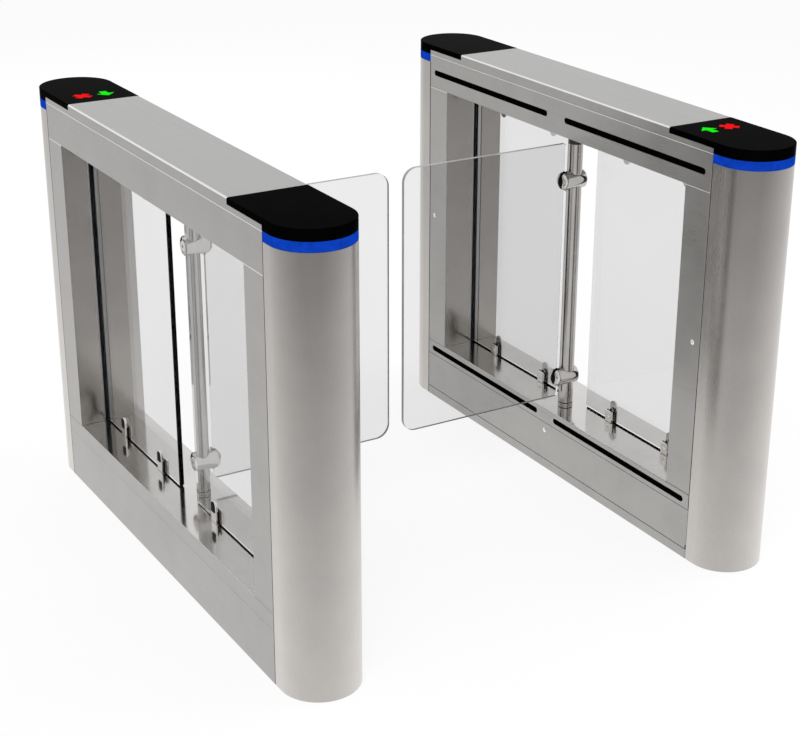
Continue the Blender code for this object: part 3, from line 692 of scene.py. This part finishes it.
def make_camera():
    """Camera at the photograph's view."""
    azimuth = math.radians(camera_azimuth)
    elevation = math.radians(camera_elevation)
    back = Vector((math.sin(azimuth) * math.cos(elevation), -math.cos(azimuth) * math.cos(elevation),
                   math.sin(elevation)))
    right = Vector((0, 0, 1)).cross(back).normalized()
    up = back.cross(right)
    turn = Matrix((right, up, back)).transposed().to_4x4()
    turn = turn @ Matrix.Rotation(math.radians(camera_roll), 4, "Z")
    data = bpy.data.cameras.new("camera")
    data.sensor_fit = "HORIZONTAL"
    data.sensor_width = sensor_width
    data.lens = camera_lens
    data.clip_end = 100
    camera = new_object(data, "camera")
    camera.matrix_world = Matrix.Translation(camera_place) @ turn
    bpy.context.scene.camera = camera


def make_light(name, place, power):
    """A soft square lamp that isn't itself seen in steel or through glass."""
    data = bpy.data.lights.new(name, "AREA")
    data.shape = "SQUARE"
    data.size = lamp_size
    data.energy = power
    lamp = new_object(data, name)
    lamp.location = place
    lamp.rotation_euler = (Vector(lamp_aim) - Vector(place)).to_track_quat("-Z", "Y").to_euler()
    lamp.visible_glossy = False
    lamp.visible_transmission = False


def seen_by_eye(tree):
    """1 for camera, glossy and transmission rays, which see the white background."""
    path = add(tree, "ShaderNodeLightPath")
    first = add(tree, "ShaderNodeMath", operation="MAXIMUM")
    second = add(tree, "ShaderNodeMath", operation="MAXIMUM")
    tree.links.new(path.outputs["Is Camera Ray"], first.inputs[0])
    tree.links.new(path.outputs["Is Glossy Ray"], first.inputs[1])
    tree.links.new(first.outputs[0], second.inputs[0])
    tree.links.new(path.outputs["Is Transmission Ray"], second.inputs[1])
    return second.outputs[0]


def make_stage():
    """White studio: world, floor and lamps."""
    world = bpy.data.worlds.new("studio")
    world.use_nodes = True
    tree = world.node_tree
    ambient = tree.nodes["Background"]
    fill(ambient, {"Color": (1, 1, 1, 1), "Strength": ambient_strength})
    backdrop = add(tree, "ShaderNodeBackground", Color=(1, 1, 1, 1), Strength=1.0)
    mix = add(tree, "ShaderNodeMixShader")
    tree.links.new(seen_by_eye(tree), mix.inputs[0])
    tree.links.new(ambient.outputs[0], mix.inputs[1])
    tree.links.new(backdrop.outputs[0], mix.inputs[2])
    tree.links.new(mix.outputs[0], tree.nodes["World Output"].inputs["Surface"])
    bpy.context.scene.world = world

    square = rectangle((-floor_reach, -floor_reach), (floor_reach, floor_reach))
    floor_mesh = prism(square, -floor_depth, -floor_drop)
    made, tree, shader = material("studio_floor")
    grain = noise(tree, even, scale=2.0, detail=2.0)
    colour = tint(tree, spread(tree, grain, 0, 1), (0.96, 0.96, 0.96), (0.97, 0.97, 0.97))
    tree.links.new(colour, shader.inputs["Base Color"])
    fill(shader, {"Roughness": 0.9, "Specular IOR Level": 0.1})
    white = add(tree, "ShaderNodeEmission", Color=(1, 1, 1, 1), Strength=1.0)
    share = add(tree, "ShaderNodeMath", operation="MULTIPLY")
    fill(share, {1: floor_white_share})
    mix = add(tree, "ShaderNodeMixShader")
    tree.links.new(seen_by_eye(tree), share.inputs[0])
    tree.links.new(share.outputs[0], mix.inputs[0])
    tree.links.new(shader.outputs[0], mix.inputs[1])
    tree.links.new(white.outputs[0], mix.inputs[2])
    tree.links.new(mix.outputs[0], tree.nodes["Material Output"].inputs["Surface"])
    floor_mesh.materials.append(made)
    floor = new_object(floor_mesh, "studio_floor")
    for name, place, power in lamps:
        make_light(name, place, power)


def base_tray():
    """Folded tray of the base with its bulkheads."""
    outer_top = panel_seam_height + tray_over_seam
    inner = half_width - sheet
    outline = [(-half_width, 0), (half_width, 0), (half_width, outer_top), (inner, outer_top),
               (inner, floor_sheet), (-inner, floor_sheet), (-inner, kick_height),
               (-half_width, kick_height)]
    mesh = grooved(softened(prism(outline, -half_length, half_length, "Y"), edge_round))
    top = deck_height - sheet - gap
    bulkhead = box((-inner + gap, half_length - sheet, floor_sheet), (inner - gap, half_length, top))
    return grouped(mesh, both_ends(bulkhead))


def slotted_sheet(low, high, slot_centre):
    """Lane-side sheet with the two stadium slots and a rolled upper edge."""
    outer = rectangle((-half_length, low), (half_length, high))
    slots = [stadium((y, slot_centre), slot_length, slot_height) for y in slot_stations()]
    mesh = rolled_edge(prism([outer] + slots, lane_face, lane_face + sheet, "X"), high)
    return grooved(softened(mesh, edge_round))


def plain_sheet(low, high):
    """Outer side's sheet with a rolled upper edge."""
    mesh = box((half_width - sheet, -half_length, low), (half_width, half_length, high))
    return grooved(softened(rolled_edge(mesh, high), edge_round))


def base_rail():
    """Channel over the base: slotted lane flange, outer flange and web."""
    low = panel_seam_height + rail_over_seam
    top = deck_height - sheet - gap
    lane = slotted_sheet(low, top, lower_slot_height)
    outer = plain_sheet(low, top)
    inner = half_width - sheet
    web = box((-inner, -half_length, top - sheet), (inner, half_length, top - gap))
    return grouped(lane, outer, web)


def deck_plate():
    """Polished plate between the columns."""
    reach = window_station - gap
    return softened(box((-half_width, -reach, deck_height - sheet), (half_width, reach, deck_height)),
                    edge_round)


def column_foot():
    """Base's top strip under a column, brushed like the column."""
    return grooved(softened(box((-half_width, window_station + gap, deck_height - sheet),
                                (half_width, half_length, deck_height)), edge_round))


def jamb():
    """Folded column side at +Y with the pocket for the pane's edge; its rolled top edge is finish 1, a
    painted highlight, and its reveal is finish 2.
    """
    inner = half_width - sheet
    front = window_station
    back = window_station + pocket_depth
    wide = pocket_half + sheet
    outline = [(half_width, half_length), (half_width, front), (pane_x + pocket_half, front),
               (pane_x + pocket_half, back), (pane_x - pocket_half, back), (pane_x - pocket_half, front),
               (-half_width, front), (-half_width, half_length), (-inner, half_length),
               (-inner, front + sheet), (pane_x - wide, front + sheet), (pane_x - wide, back + sheet),
               (pane_x + wide, back + sheet), (pane_x + wide, front + sheet), (inner, front + sheet),
               (inner, half_length)]
    top = window_top_height - gap
    mesh = rolled_edge(prism(outline, deck_height + gap, top), top)
    # The rolled top edge takes the bright finish, a painted highlight
    mesh = marked(grooved(softened(mesh, edge_round)), 1, is_rolled(top))
    return marked(mesh, 2, lambda centre, normal: abs(centre.x) < half_width - roll_radius)


def window_head():
    """Channel over the window with the slots in its lane side."""
    top = beam_top_height - gap
    low = window_top_height
    inner = half_width - sheet
    web = box((-inner - sheet / 2, -half_length, low + gap), (inner + sheet / 2, half_length, low + sheet))
    mesh = grouped(slotted_sheet(low, top, upper_slot_height), plain_sheet(low, top), web)
    # The rolled top edges take the bright finish, a painted highlight
    return marked(mesh, 1, is_rolled(top))


def end_cover():
    """Half-round shell at +Y with its lips at the seam."""
    start = seam_station + gap / 2
    inner = half_width - sheet
    lip = inner - cover_lip
    outline = end_outline(start) + [(-lip, start), (-lip, start + sheet)]
    outline += list(reversed(end_outline(start + sheet, sheet)))
    outline += [(lip, start + sheet), (lip, start)]
    mesh = prism(outline, 0, beam_top_height - ring_height - gap)
    return grooved(softened(mesh, seam_round, angle=50))


def seam_wedges(half, outer, depth):
    """Upright wedges in the four seams, by their half width, outer distance and depth."""
    top = beam_top_height - ring_height
    wedge = [(outer, seam_station - half), (outer, seam_station + half), (half_width - depth, seam_station)]
    side = prism(wedge, seam_foot, top)
    return both_ends(grouped(side, flipped(side, "X")))


def grooved(mesh):
    """The mesh with the shallow V grooves of the seams in it."""
    return cut(mesh, seam_wedges(groove_half, half_width + groove_over, groove_depth))


def top_lid():
    """Lid with a raised middle, long rounded edges and a skirt."""
    low = beam_top_height + gap / 2
    radius = lid_edge_radius
    end = box((-half_width, -half_length, low), (half_width, half_length, skirt_top_height))
    right = [(half_width, low)]
    right += arc((half_width - radius, cabinet_height - radius), radius, 0, 90)
    reach = cap_station - gap / 2
    raised = prism(mirrored(right), -reach, reach, "Y")
    mesh = softened(boolean(end, raised, "UNION"), edge_round)
    mesh = marked(mesh, 1, lambda centre, normal: abs(normal.z) < steep_slope)
    # The rounded long edges take the bright finish, a painted highlight
    return marked(mesh, 2, lambda centre, normal: (steep_slope < normal.z < level_slope
                                                   and centre.z > skirt_top_height))


def end_cap():
    """Black cap at +Y: deep round the end, shallow over the lid, its top rim rounded."""
    top = cabinet_height - cap_drop
    start = cap_station + gap / 2
    mesh = prism(end_outline(start), beam_top_height + gap, top)
    bm = bmesh.new()
    bm.from_mesh(mesh)
    rim = [edge for edge in bm.edges if all(vert.co.z > top - gap for vert in edge.verts)]
    bmesh.ops.bevel(bm, geom=rim, offset=cap_rim_radius, segments=4, profile=0.5, affect="EDGES")
    mesh = tidy_mesh(bm)
    over_lid = box((-half_width - overrun, start - overrun, beam_top_height - overrun),
                   (half_width + overrun, seam_station + gap / 2, skirt_top_height + gap))
    return softened(cut(mesh, over_lid), fine_round, angle=60)


def cross_outline():
    """A diagonal cross at the sign's place."""
    # The strokes are grown by the glow margin, a painted glow round the lamp
    reach = sign_size / 2 + sign_glow_margin
    half = sign_stroke / 2 + sign_glow_margin
    points = []
    for turn in range(4):
        angle = math.radians(45 - 90 * turn)
        for u, v in [(half, half), (reach, half), (reach, -half)]:
            points.append((u * math.cos(angle) - v * math.sin(angle) - sign_spread,
                           u * math.sin(angle) + v * math.cos(angle) + sign_station))
    return points


def arrow_outline():
    """An arrow towards the lane's middle at the sign's place."""
    # The strokes are grown by the glow margin, a painted glow round the lamp
    reach = sign_size / 2 + sign_glow_margin
    half = sign_stroke / 2 + sign_glow_margin
    points = mirrored([(half, reach), (half, 0), (reach, 0), (arrow_tip, -reach)])
    return [(u + sign_spread, v + sign_station) for u, v in points]


def sign(outline):
    """A lit sign, level with the cap's top."""
    return prism(outline, cabinet_height - cap_top, cabinet_height)


def display_board():
    """Board under the display cap with its antenna frame and two rows of sign lamps."""
    top = cabinet_height - cap_top - gap
    low = top - board_thickness
    start = cap_station + board_start
    end = cabinet_length / 2 - board_end
    board = softened(box((-board_half, start, low), (board_half, end, top)), fine_round)
    outer = rectangle((-antenna_half, end - antenna_length), (antenna_half, end - antenna_end))
    half = antenna_half - antenna_width
    inner = rectangle((-half, end - antenna_length + antenna_width),
                      (half, end - antenna_end - antenna_width))
    antenna = softened(prism([outer, inner], low - antenna_thickness, low + gap), ring_round)
    lamp = turned([(0, -lamp_height), (lamp_radius - gap, -lamp_height), (lamp_radius, 0), (0, 0)], steps=12)
    rows = (sign_station - lamp_row, sign_station + lamp_row)
    lights = [shifted(lamp, x=u, y=v, z=low + gap) for u in lamp_places for v in rows]
    return grouped(board, antenna, *lights)


def light_ring():
    """Light band round the end under the cap."""
    start = seam_station + gap / 2
    outline = end_outline(start) + list(reversed(end_outline(start, ring_wall)))
    mesh = prism(outline, beam_top_height - ring_height, beam_top_height)
    return softened(mesh, ring_round, angle=50)


def lens(y, height):
    """Smoked lens that fills its slot, a little sunk, with a rim behind the sheet."""
    face = prism(stadium((y, height), slot_length - 2 * gap, slot_height - 2 * gap),
                 lane_face + lens_sunk, lane_face + sheet + gap, "X")
    rim = prism(stadium((y, height), slot_length + lens_rim, slot_height + lens_rim),
                lane_face + sheet + gap, lane_face + lens_depth, "X")
    return grouped(softened(face, fine_round), rim)


def fixed_pane():
    """Fixed glass at +Y with ground edges."""
    low = (pane_x - pane_half, pane_free_station, deck_height + strip_height + 2 * gap)
    high = (pane_x + pane_half, window_station + pane_insert, window_top_height - pane_top_gap)
    return softened(box(low, high), glass_round)


def wing_glass():
    """Wing of glass with round outer corners and ground edges."""
    reach = cabinet_x - wing_gap / 2
    radii = (wing_outer_radius, wing_inner_radius, wing_inner_radius, wing_outer_radius)
    outline = rounded_rectangle((-reach, wing_bottom), (post_x - wing_start, wing_top), radii)
    mesh = softened(prism(outline, -wing_half, wing_half, "Y"), glass_round)
    return marked(mesh, 1, lambda centre, normal: (abs(normal.y) < ground_slope
                                                   and normal.x < post_side_slope))


def swing_post():
    """Post with a collar at its foot, a fine dark groove over it, a shaft and a pivot."""
    top = window_top_height - bush_drop - gap
    foot = deck_height + gap
    line = foot + collar_height
    slope = 0.0002
    groove = post_radius - groove_sunk
    collar = post_radius + collar_proud
    profile = [(0, top + pivot_length), (pivot_radius, top + pivot_length), (pivot_radius, top),
               (post_radius - post_round, top), (post_radius, top - post_round),
               (post_radius, line + groove_width), (groove, line + groove_width - slope),
               (groove, line + slope), (post_radius, line), (collar, line - collar_proud),
               (collar, foot), (shaft_radius, foot), (shaft_radius, shaft_bottom_height),
               (0, shaft_bottom_height)]
    floor = post_radius - groove_sunk / 2
    # The groove's floor takes the black finish: painted shade in the groove
    mesh = marked(turned(profile), 1, lambda centre, normal: (0 < centre.z - line < groove_width
                                                              and math.hypot(centre.x, centre.y) < floor))
    return shifted(mesh, x=post_x)


def upper_bush():
    """Black bush under the window's head."""
    top = window_top_height - gap
    low = window_top_height - bush_drop
    radius = post_radius - gap
    mesh = turned([(radius, top), (radius, low + bush_round), (radius - bush_round, low),
                   (bush_bore_radius, low), (bush_bore_radius, top)])
    return shifted(mesh, x=post_x)


def screw_head(profile, socket_radius, socket_floor, place):
    """A round screw head with a six-sided socket, moved to its place."""
    socket = turned([(0, head_clear), (socket_radius, head_clear), (socket_radius, socket_floor),
                     (0, socket_floor)], steps=6)
    return moved(cut(turned(profile), socket), place)


def wing_clamp():
    """Two polished jaws about the post, split along the glass, with a screw disc outside."""
    profile = [(0, jaw_lane_reach)]
    profile += arc((jaw_radius - jaw_nose, jaw_lane_reach - jaw_nose), jaw_nose, 90, 0)
    profile += arc((jaw_radius - jaw_corner, jaw_corner - jaw_outer_reach), jaw_corner, 0, -90, steps=4)
    profile += [(0, -jaw_outer_reach)]
    body = moved(turned(profile), Matrix.Rotation(-math.pi / 2, 4, "Y"))
    radius = post_radius + gap
    bore = turned([(0, overrun), (radius, overrun), (radius, -overrun), (0, -overrun)])
    slot = box((-overrun, -jaw_slot_half, -overrun), (-jaw_slot_start, jaw_slot_half, overrun))
    split = box((-overrun, -jaw_split_half, -overrun), (overrun, jaw_split_half, overrun))
    mesh = softened(cut(body, bore, slot, split), jaw_round, angle=50)
    place = Matrix.Translation((jaw_outer_reach, 0, 0)) @ Matrix.Rotation(math.pi / 2, 4, "Y")
    return grouped(mesh, screw_head(jaw_disc, jaw_socket_radius, jaw_socket_floor, place))


def wing_gasket():
    """Two rubber sheets between the jaws and the glass, proud of the jaws."""
    outline = [(-gasket_start, gasket_radius)]
    outline += [(-gasket_flat - u * gasket_spread, v)
                for u, v in arc((0, 0), gasket_radius, 90, -90, fine_steps * 3)]
    outline.append((-gasket_start, -gasket_radius))
    return both_ends(softened(prism(outline, gasket_near, gasket_far, "Y"), gap))


def at_clamp_heights(mesh):
    """A wing clamp's piece at each clamp."""
    return [shifted(mesh, x=post_x, z=height) for height in (upper_clamp_height, lower_clamp_height)]


def pane_clamp():
    """Polished clamp: a foot, a low jaw with a screw on the lane side and a tall jaw outside."""
    outline = [(clamp_radius, 0)]
    outline += arc((0, clamp_height - clamp_radius), clamp_radius, 0, 180, fine_steps * 3)
    outline.append((-clamp_radius, 0))
    mesh = softened(prism(outline, -clamp_half, clamp_half - pad_room, "X"), clamp_round, segments=3)
    room = pane_half + clamp_room
    slot = box((-room, -overrun, clamp_foot), (room, overrun, clamp_lane_height))
    over_lane_jaw = box((-overrun, -overrun, clamp_lane_height - gap),
                        (pane_half + clamp_close_room, overrun, overrun))
    mesh = softened(cut(mesh, slot, over_lane_jaw), jaw_round, segments=3, angle=60)
    place = Matrix.Translation((-clamp_half, 0, clamp_lane_height / 2))
    place = place @ Matrix.Rotation(-math.pi / 2, 4, "Y")
    return grouped(mesh, screw_head(clamp_screw, clamp_socket_radius, gap, place))


def clamp_liner():
    """Rubber between a pane clamp's lower half and the glass, and the black pad on its tall jaw."""
    outer = pane_half + liner_far
    inner = pane_half + liner_near
    radius = clamp_radius + liner_proud
    low = box((-outer, -radius, liner_foot), (-inner, radius, clamp_lane_height + liner_proud))
    outline = rounded_rectangle((-pad_half, clamp_lane_height - pad_overlap),
                                (pad_half, clamp_height - pad_inset),
                                (pad_corner, pad_corner, pad_half - tolerance, pad_half - tolerance))
    pad = softened(prism(outline, clamp_half - pad_thickness, clamp_half, "X"), fine_round)
    end = box((inner, radius - liner_end, liner_foot), (outer, radius, clamp_lane_height - 2 * gap))
    return grouped(low, both_ends(end), pad)


def at_clamps(mesh, hung):
    """A pane clamp's piece four times, on the deck or hung from the head."""
    if hung:
        mesh = shifted(flipped(mesh, "Z"), x=pane_x, z=window_top_height - gap)
    else:
        mesh = shifted(mesh, x=pane_x, z=deck_height + gap)
    return grouped(*[shifted(mesh, y=side * station) for side in (-1, 1) for station in clamp_stations])


def pane_wedge(side, inner, outer):
    """Filler strip at +Y in the pane's pocket, between two distances from the pane's middle."""
    near = pane_x + side * inner
    far = pane_x + side * outer
    low = (min(near, far), window_station + seal_sunk, deck_height + gap)
    high = (max(near, far), window_station + pocket_depth - gap, window_top_height - gap)
    return softened(box(low, high), seal_round)


def pane_strips():
    """Black strips under the pane's lower edge, between its clamps."""
    stops = [pane_free_station]
    for station in clamp_stations:
        stops += [station - clamp_radius - strip_end_gap, station + clamp_radius + strip_end_gap]
    stops.append(window_station)
    meshes = []
    for start, end in zip(stops[::2], stops[1::2]):
        meshes.append(box((pane_x - strip_half, start, deck_height + gap),
                          (pane_x + strip_half, end, deck_height + strip_height)))
    return grouped(*meshes)


def access_door():
    """Door of the base with its end flanges and hinge pins."""
    low = kick_height + door_over_kick
    high = panel_seam_height - gap
    sheet_box = box((lane_face, -half_length, low), (lane_face + sheet, half_length, high))
    mesh = grooved(softened(sheet_box, edge_round))
    notch = box((lane_face - sheet, half_length - sheet - gap, 0), (0, half_length + sheet, notch_top))
    mesh = cut(mesh, notch, flipped(notch, "Y"))
    flange = box((lane_face + sheet / 2, half_length - 2 * sheet - gap, flange_bottom),
                 (-flange_inner, half_length - sheet - gap, flange_top))
    pin = turned([(0, pin_length), (pin_radius, pin_length), (pin_radius, 0), (0, 0)], steps=16)
    place = Matrix.Translation((-pin_x, half_length - 2 * sheet, pin_height))
    pin = moved(pin, place @ Matrix.Rotation(-math.pi / 2, 4, "X"))
    return grouped(mesh, both_ends(grouped(flange, pin)))


def latch():
    """Quarter-turn lock: domed head with a key slot, shaft and cam, its cam up."""
    head = turned([*lock_dome, (lock_shaft_radius, gap), (lock_shaft_radius, -lock_shaft_length),
                   (0, -lock_shaft_length)])
    keyway = box((-keyway_half, -keyway_reach, keyway_floor), (keyway_half, keyway_reach, head_clear))
    head = moved(cut(head, keyway), Matrix.Rotation(-math.pi / 2, 4, "Y"))
    cam = softened(box((cam_near, -cam_half, 0), (lock_shaft_length, cam_half, cam_length)), fine_round)
    return grouped(head, cam)


def latch_at(mesh, y, z, lying=False):
    """The lock at its place on the lane side, its cam up or lying along the cabinet."""
    if lying:
        mesh = moved(mesh, Matrix.Rotation(-math.pi / 2, 4, "X"))
    return shifted(mesh, x=lane_face, y=y, z=z)


make_camera()
make_stage()

# Dark and light colour, range of roughness and, for steel, how its grain is stretched
# The sides' colour carries painted shade, darker towards the top
side_steel = steel("side_steel", (0.375, 0.367, 0.355), (0.425, 0.415, 0.402), (0.26, 0.36), along_y,
                   relief=0.06, shade_range=(1.04, 0.84))
# The end covers carry painted shade, much darker towards the top, and a painted sheen at grazing angles
cover_steel = steel("cover_steel", (0.43, 0.41, 0.395), (0.47, 0.45, 0.43), (0.24, 0.33), along_z,
                    relief=0.08, shade_range=(1.00, 0.42), painted_sheen=0.55)
top_steel = steel("top_steel", (0.375, 0.375, 0.37), (0.41, 0.41, 0.405), (0.30, 0.40), along_y, 0.06)
# A lighter copy of the steel for rolled and rounded edges: a painted highlight
highlight_steel = steel("highlight_steel", (0.74, 0.74, 0.73), (0.82, 0.82, 0.81), (0.20, 0.30), drawn, 0.04)
# The reveals carry painted shade, lighter at the foot and darker towards the top
reveal_steel = steel("reveal_steel", (0.46, 0.437, 0.415), (0.51, 0.485, 0.46), (0.14, 0.22), along_z,
                     relief=0.04, shade_range=(0.95, 0.50))
deck_steel = steel("deck_steel", (0.60, 0.585, 0.57), (0.66, 0.645, 0.63), (0.09, 0.15), drawn, 0.02)
post_steel = steel("post_steel", (0.37, 0.355, 0.345), (0.46, 0.445, 0.43), (0.16, 0.24), (900, 900, 8),
                   relief=0.04)
clamp_steel = steel("clamp_steel", (0.72, 0.70, 0.68), (0.82, 0.80, 0.78), (0.05, 0.10), fine_drawn, 0.04)
jaw_steel = steel("jaw_steel", (0.50, 0.485, 0.47), (0.60, 0.585, 0.57), (0.08, 0.14), fine_drawn, 0.04)
lock_chrome = steel("lock_chrome", (0.86, 0.86, 0.85), (0.92, 0.92, 0.91), (0.06, 0.12), (300, 300, 300),
                    relief=0.03)
zinc = steel("zinc", (0.36, 0.37, 0.39), (0.52, 0.53, 0.55), (0.35, 0.55), (40, 40, 40), 0.2)
gear_steel = steel("gear_steel", (0.30, 0.30, 0.31), (0.42, 0.42, 0.43), (0.25, 0.4), (200, 200, 20), 0.15)
cap_black = plastic("cap_black", (0.0006, 0.0006, 0.0007), (0.0012, 0.0012, 0.0013), (0.14, 0.22),
                    scale=1200, relief=0.01, specular=0.0005)
lens_black = plastic("lens_black", (0.0006, 0.0006, 0.0006), (0.001, 0.001, 0.001), (0.12, 0.2),
                     scale=1200, relief=0.01, specular=0.0005)
rubber = plastic("rubber", (0.003, 0.003, 0.003), (0.006, 0.006, 0.006), (0.6, 0.75),
                 scale=700, relief=0.2, specular=0.15)
bush_black = plastic("bush_black", (0.008, 0.008, 0.009), (0.014, 0.014, 0.015), (0.35, 0.5), 900, 0.1)
machine_paint = plastic("machine_paint", (0.02, 0.02, 0.022), (0.035, 0.035, 0.038), (0.4, 0.55), 500, 0.2)
unit_paint = plastic("unit_paint", (0.05, 0.055, 0.06), (0.08, 0.085, 0.09), (0.4, 0.55), 600, 0.2)
board_green = plastic("board_green", (0.004, 0.04, 0.02), (0.006, 0.06, 0.03), (0.3, 0.45), 800, 0.1)
blue_band = lit("blue_band", (0.0, 0.036, 0.36), (0.0, 0.052, 0.56), 1.0)
red_sign = lit("red_sign", (0.85, 0.0, 0.0), (1.0, 0.01, 0.01), 1.0)
green_sign = lit("green_sign", (0.0, 0.85, 0.0), (0.01, 1.0, 0.01), 1.0)
clear_glass = glass("clear_glass", (0.83, 0.83, 0.83))
pane_glass = glass("pane_glass", (0.765, 0.765, 0.765))
ground_edge = plastic("ground_edge", (0.26, 0.27, 0.27), (0.36, 0.37, 0.37), (0.3, 0.45), 600, 0.05)

piece("tray_skin", base_tray(), side_steel, ["base_tray"])
piece("rail_skin", base_rail(), side_steel, ["base_rail"])
piece("deck_skin", deck_plate(), deck_steel)
piece("column_feet", both_ends(column_foot()), side_steel)
piece("column_sides", both_ends(jamb()), [side_steel, highlight_steel, reveal_steel],
      ["window_frame"])
piece("window_head", window_head(), [side_steel, highlight_steel])
end_pieces("cover_skin", end_cover(), cover_steel, "end_cover")
# The strips stop over the door, which drops past them
door_room = box((-cabinet_width, -seam_station - gap / 2, 0),
                (0, seam_station + gap / 2, panel_seam_height))
# Black strips in the shallow seam grooves: a painted shade line along each seam
strips = cut(seam_wedges(seam_strip_half, half_width - seam_strip_sunk, seam_strip_depth), door_room)
piece("seam_shade_strips", strips, rubber)
piece("lid_skin", top_lid(), [top_steel, side_steel, highlight_steel], ["top_lid"])
end_pieces("cap_skin", end_cap(), cap_black, "cap")
half_turn = Matrix.Rotation(math.pi, 4, "Z")
piece("display_board", flipped(display_board(), "Y"), board_green, ["display_module"])
piece("red_cross", moved(sign(cross_outline()), half_turn), red_sign)
piece("green_arrow", moved(sign(arrow_outline()), half_turn), green_sign)
piece("light_rings", both_ends(light_ring()), blue_band, ["light_guide"])
for level, height in (("upper", upper_slot_height), ("lower", lower_slot_height)):
    lenses = grouped(*[lens(y, height) for y in slot_stations()])
    piece(level + "_lenses", lenses, lens_black, [level + "_sensor_strip"])
end_pieces("pane_glass", fixed_pane(), pane_glass, "end_pane")
piece("pane_strips", both_ends(pane_strips()), rubber)
# The black rubber seal lines each pocket's side towards world -X in both cabinets: a rubber seal and a
# painted shade where the pocket's depth is in shade; steel liners fill the rest
for side, dark in (("right", -1), ("left", 1)):
    seal = pane_wedge(dark, pane_half + gap, seal_reach)
    liners = grouped(pane_wedge(dark, seal_reach + gap, pocket_half - gap),
                     pane_wedge(-dark, pane_half + gap, pocket_half - gap))
    piece("pane_shade_seals", both_ends(seal), rubber, sides=[side])
    piece("pane_liners", both_ends(liners), top_steel, sides=[side])
clamp = pane_clamp()
liner = clamp_liner()
for level, hung in (("lower", False), ("upper", True)):
    piece(level + "_clamp_jaws", at_clamps(clamp, hung), clamp_steel,
          [level + "_pane_clamps"])
    piece(level + "_clamp_liners", at_clamps(liner, hung), rubber)
piece("bush_sleeve", upper_bush(), bush_black, ["upper_bush"])

piece("wing_pane", wing_glass(), [clear_glass, ground_edge], ["wing_glass"], "wing")
piece("post_tube", swing_post(), [post_steel, rubber], ["swing_post"], "wing")
for level, mesh in zip(("upper", "lower"), at_clamp_heights(wing_clamp())):
    piece(level + "_wing_jaws", mesh, jaw_steel, [level + "_wing_clamp"], "wing")
for level, mesh in zip(("upper", "lower"), at_clamp_heights(wing_gasket())):
    piece(level + "_wing_gasket", mesh, rubber, body="wing")

piece("door_skin", access_door(), side_steel, ["access_door"], "door")
lock = latch()
piece("door_lock", latch_at(lock, 0, door_latch_height, lying=True), lock_chrome,
      ["door_latch"], "door_latch_body")
piece("plain_column_lock", latch_at(lock, cover_latch_station, cover_latch_height), lock_chrome,
      ["plain_cover_latch"], "plain_latch_body")
piece("display_column_lock", latch_at(lock, -cover_latch_station, cover_latch_height), lock_chrome,
      ["display_cover_latch"], "display_latch_body")

# Solids shown as they are, with finishes of their own
kept = {"drive_bridge": zinc, "drive_wheel": gear_steel, "drive_pinion": gear_steel,
        "gear_motor": machine_paint, "control_unit": unit_paint}
for name, finish in kept.items():
    for side in side_matrices:
        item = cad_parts[side + "_" + name]
        item.data.materials.clear()
        item.data.materials.append(finish)

scene = bpy.context.scene
scene.view_settings.view_transform = "Standard"
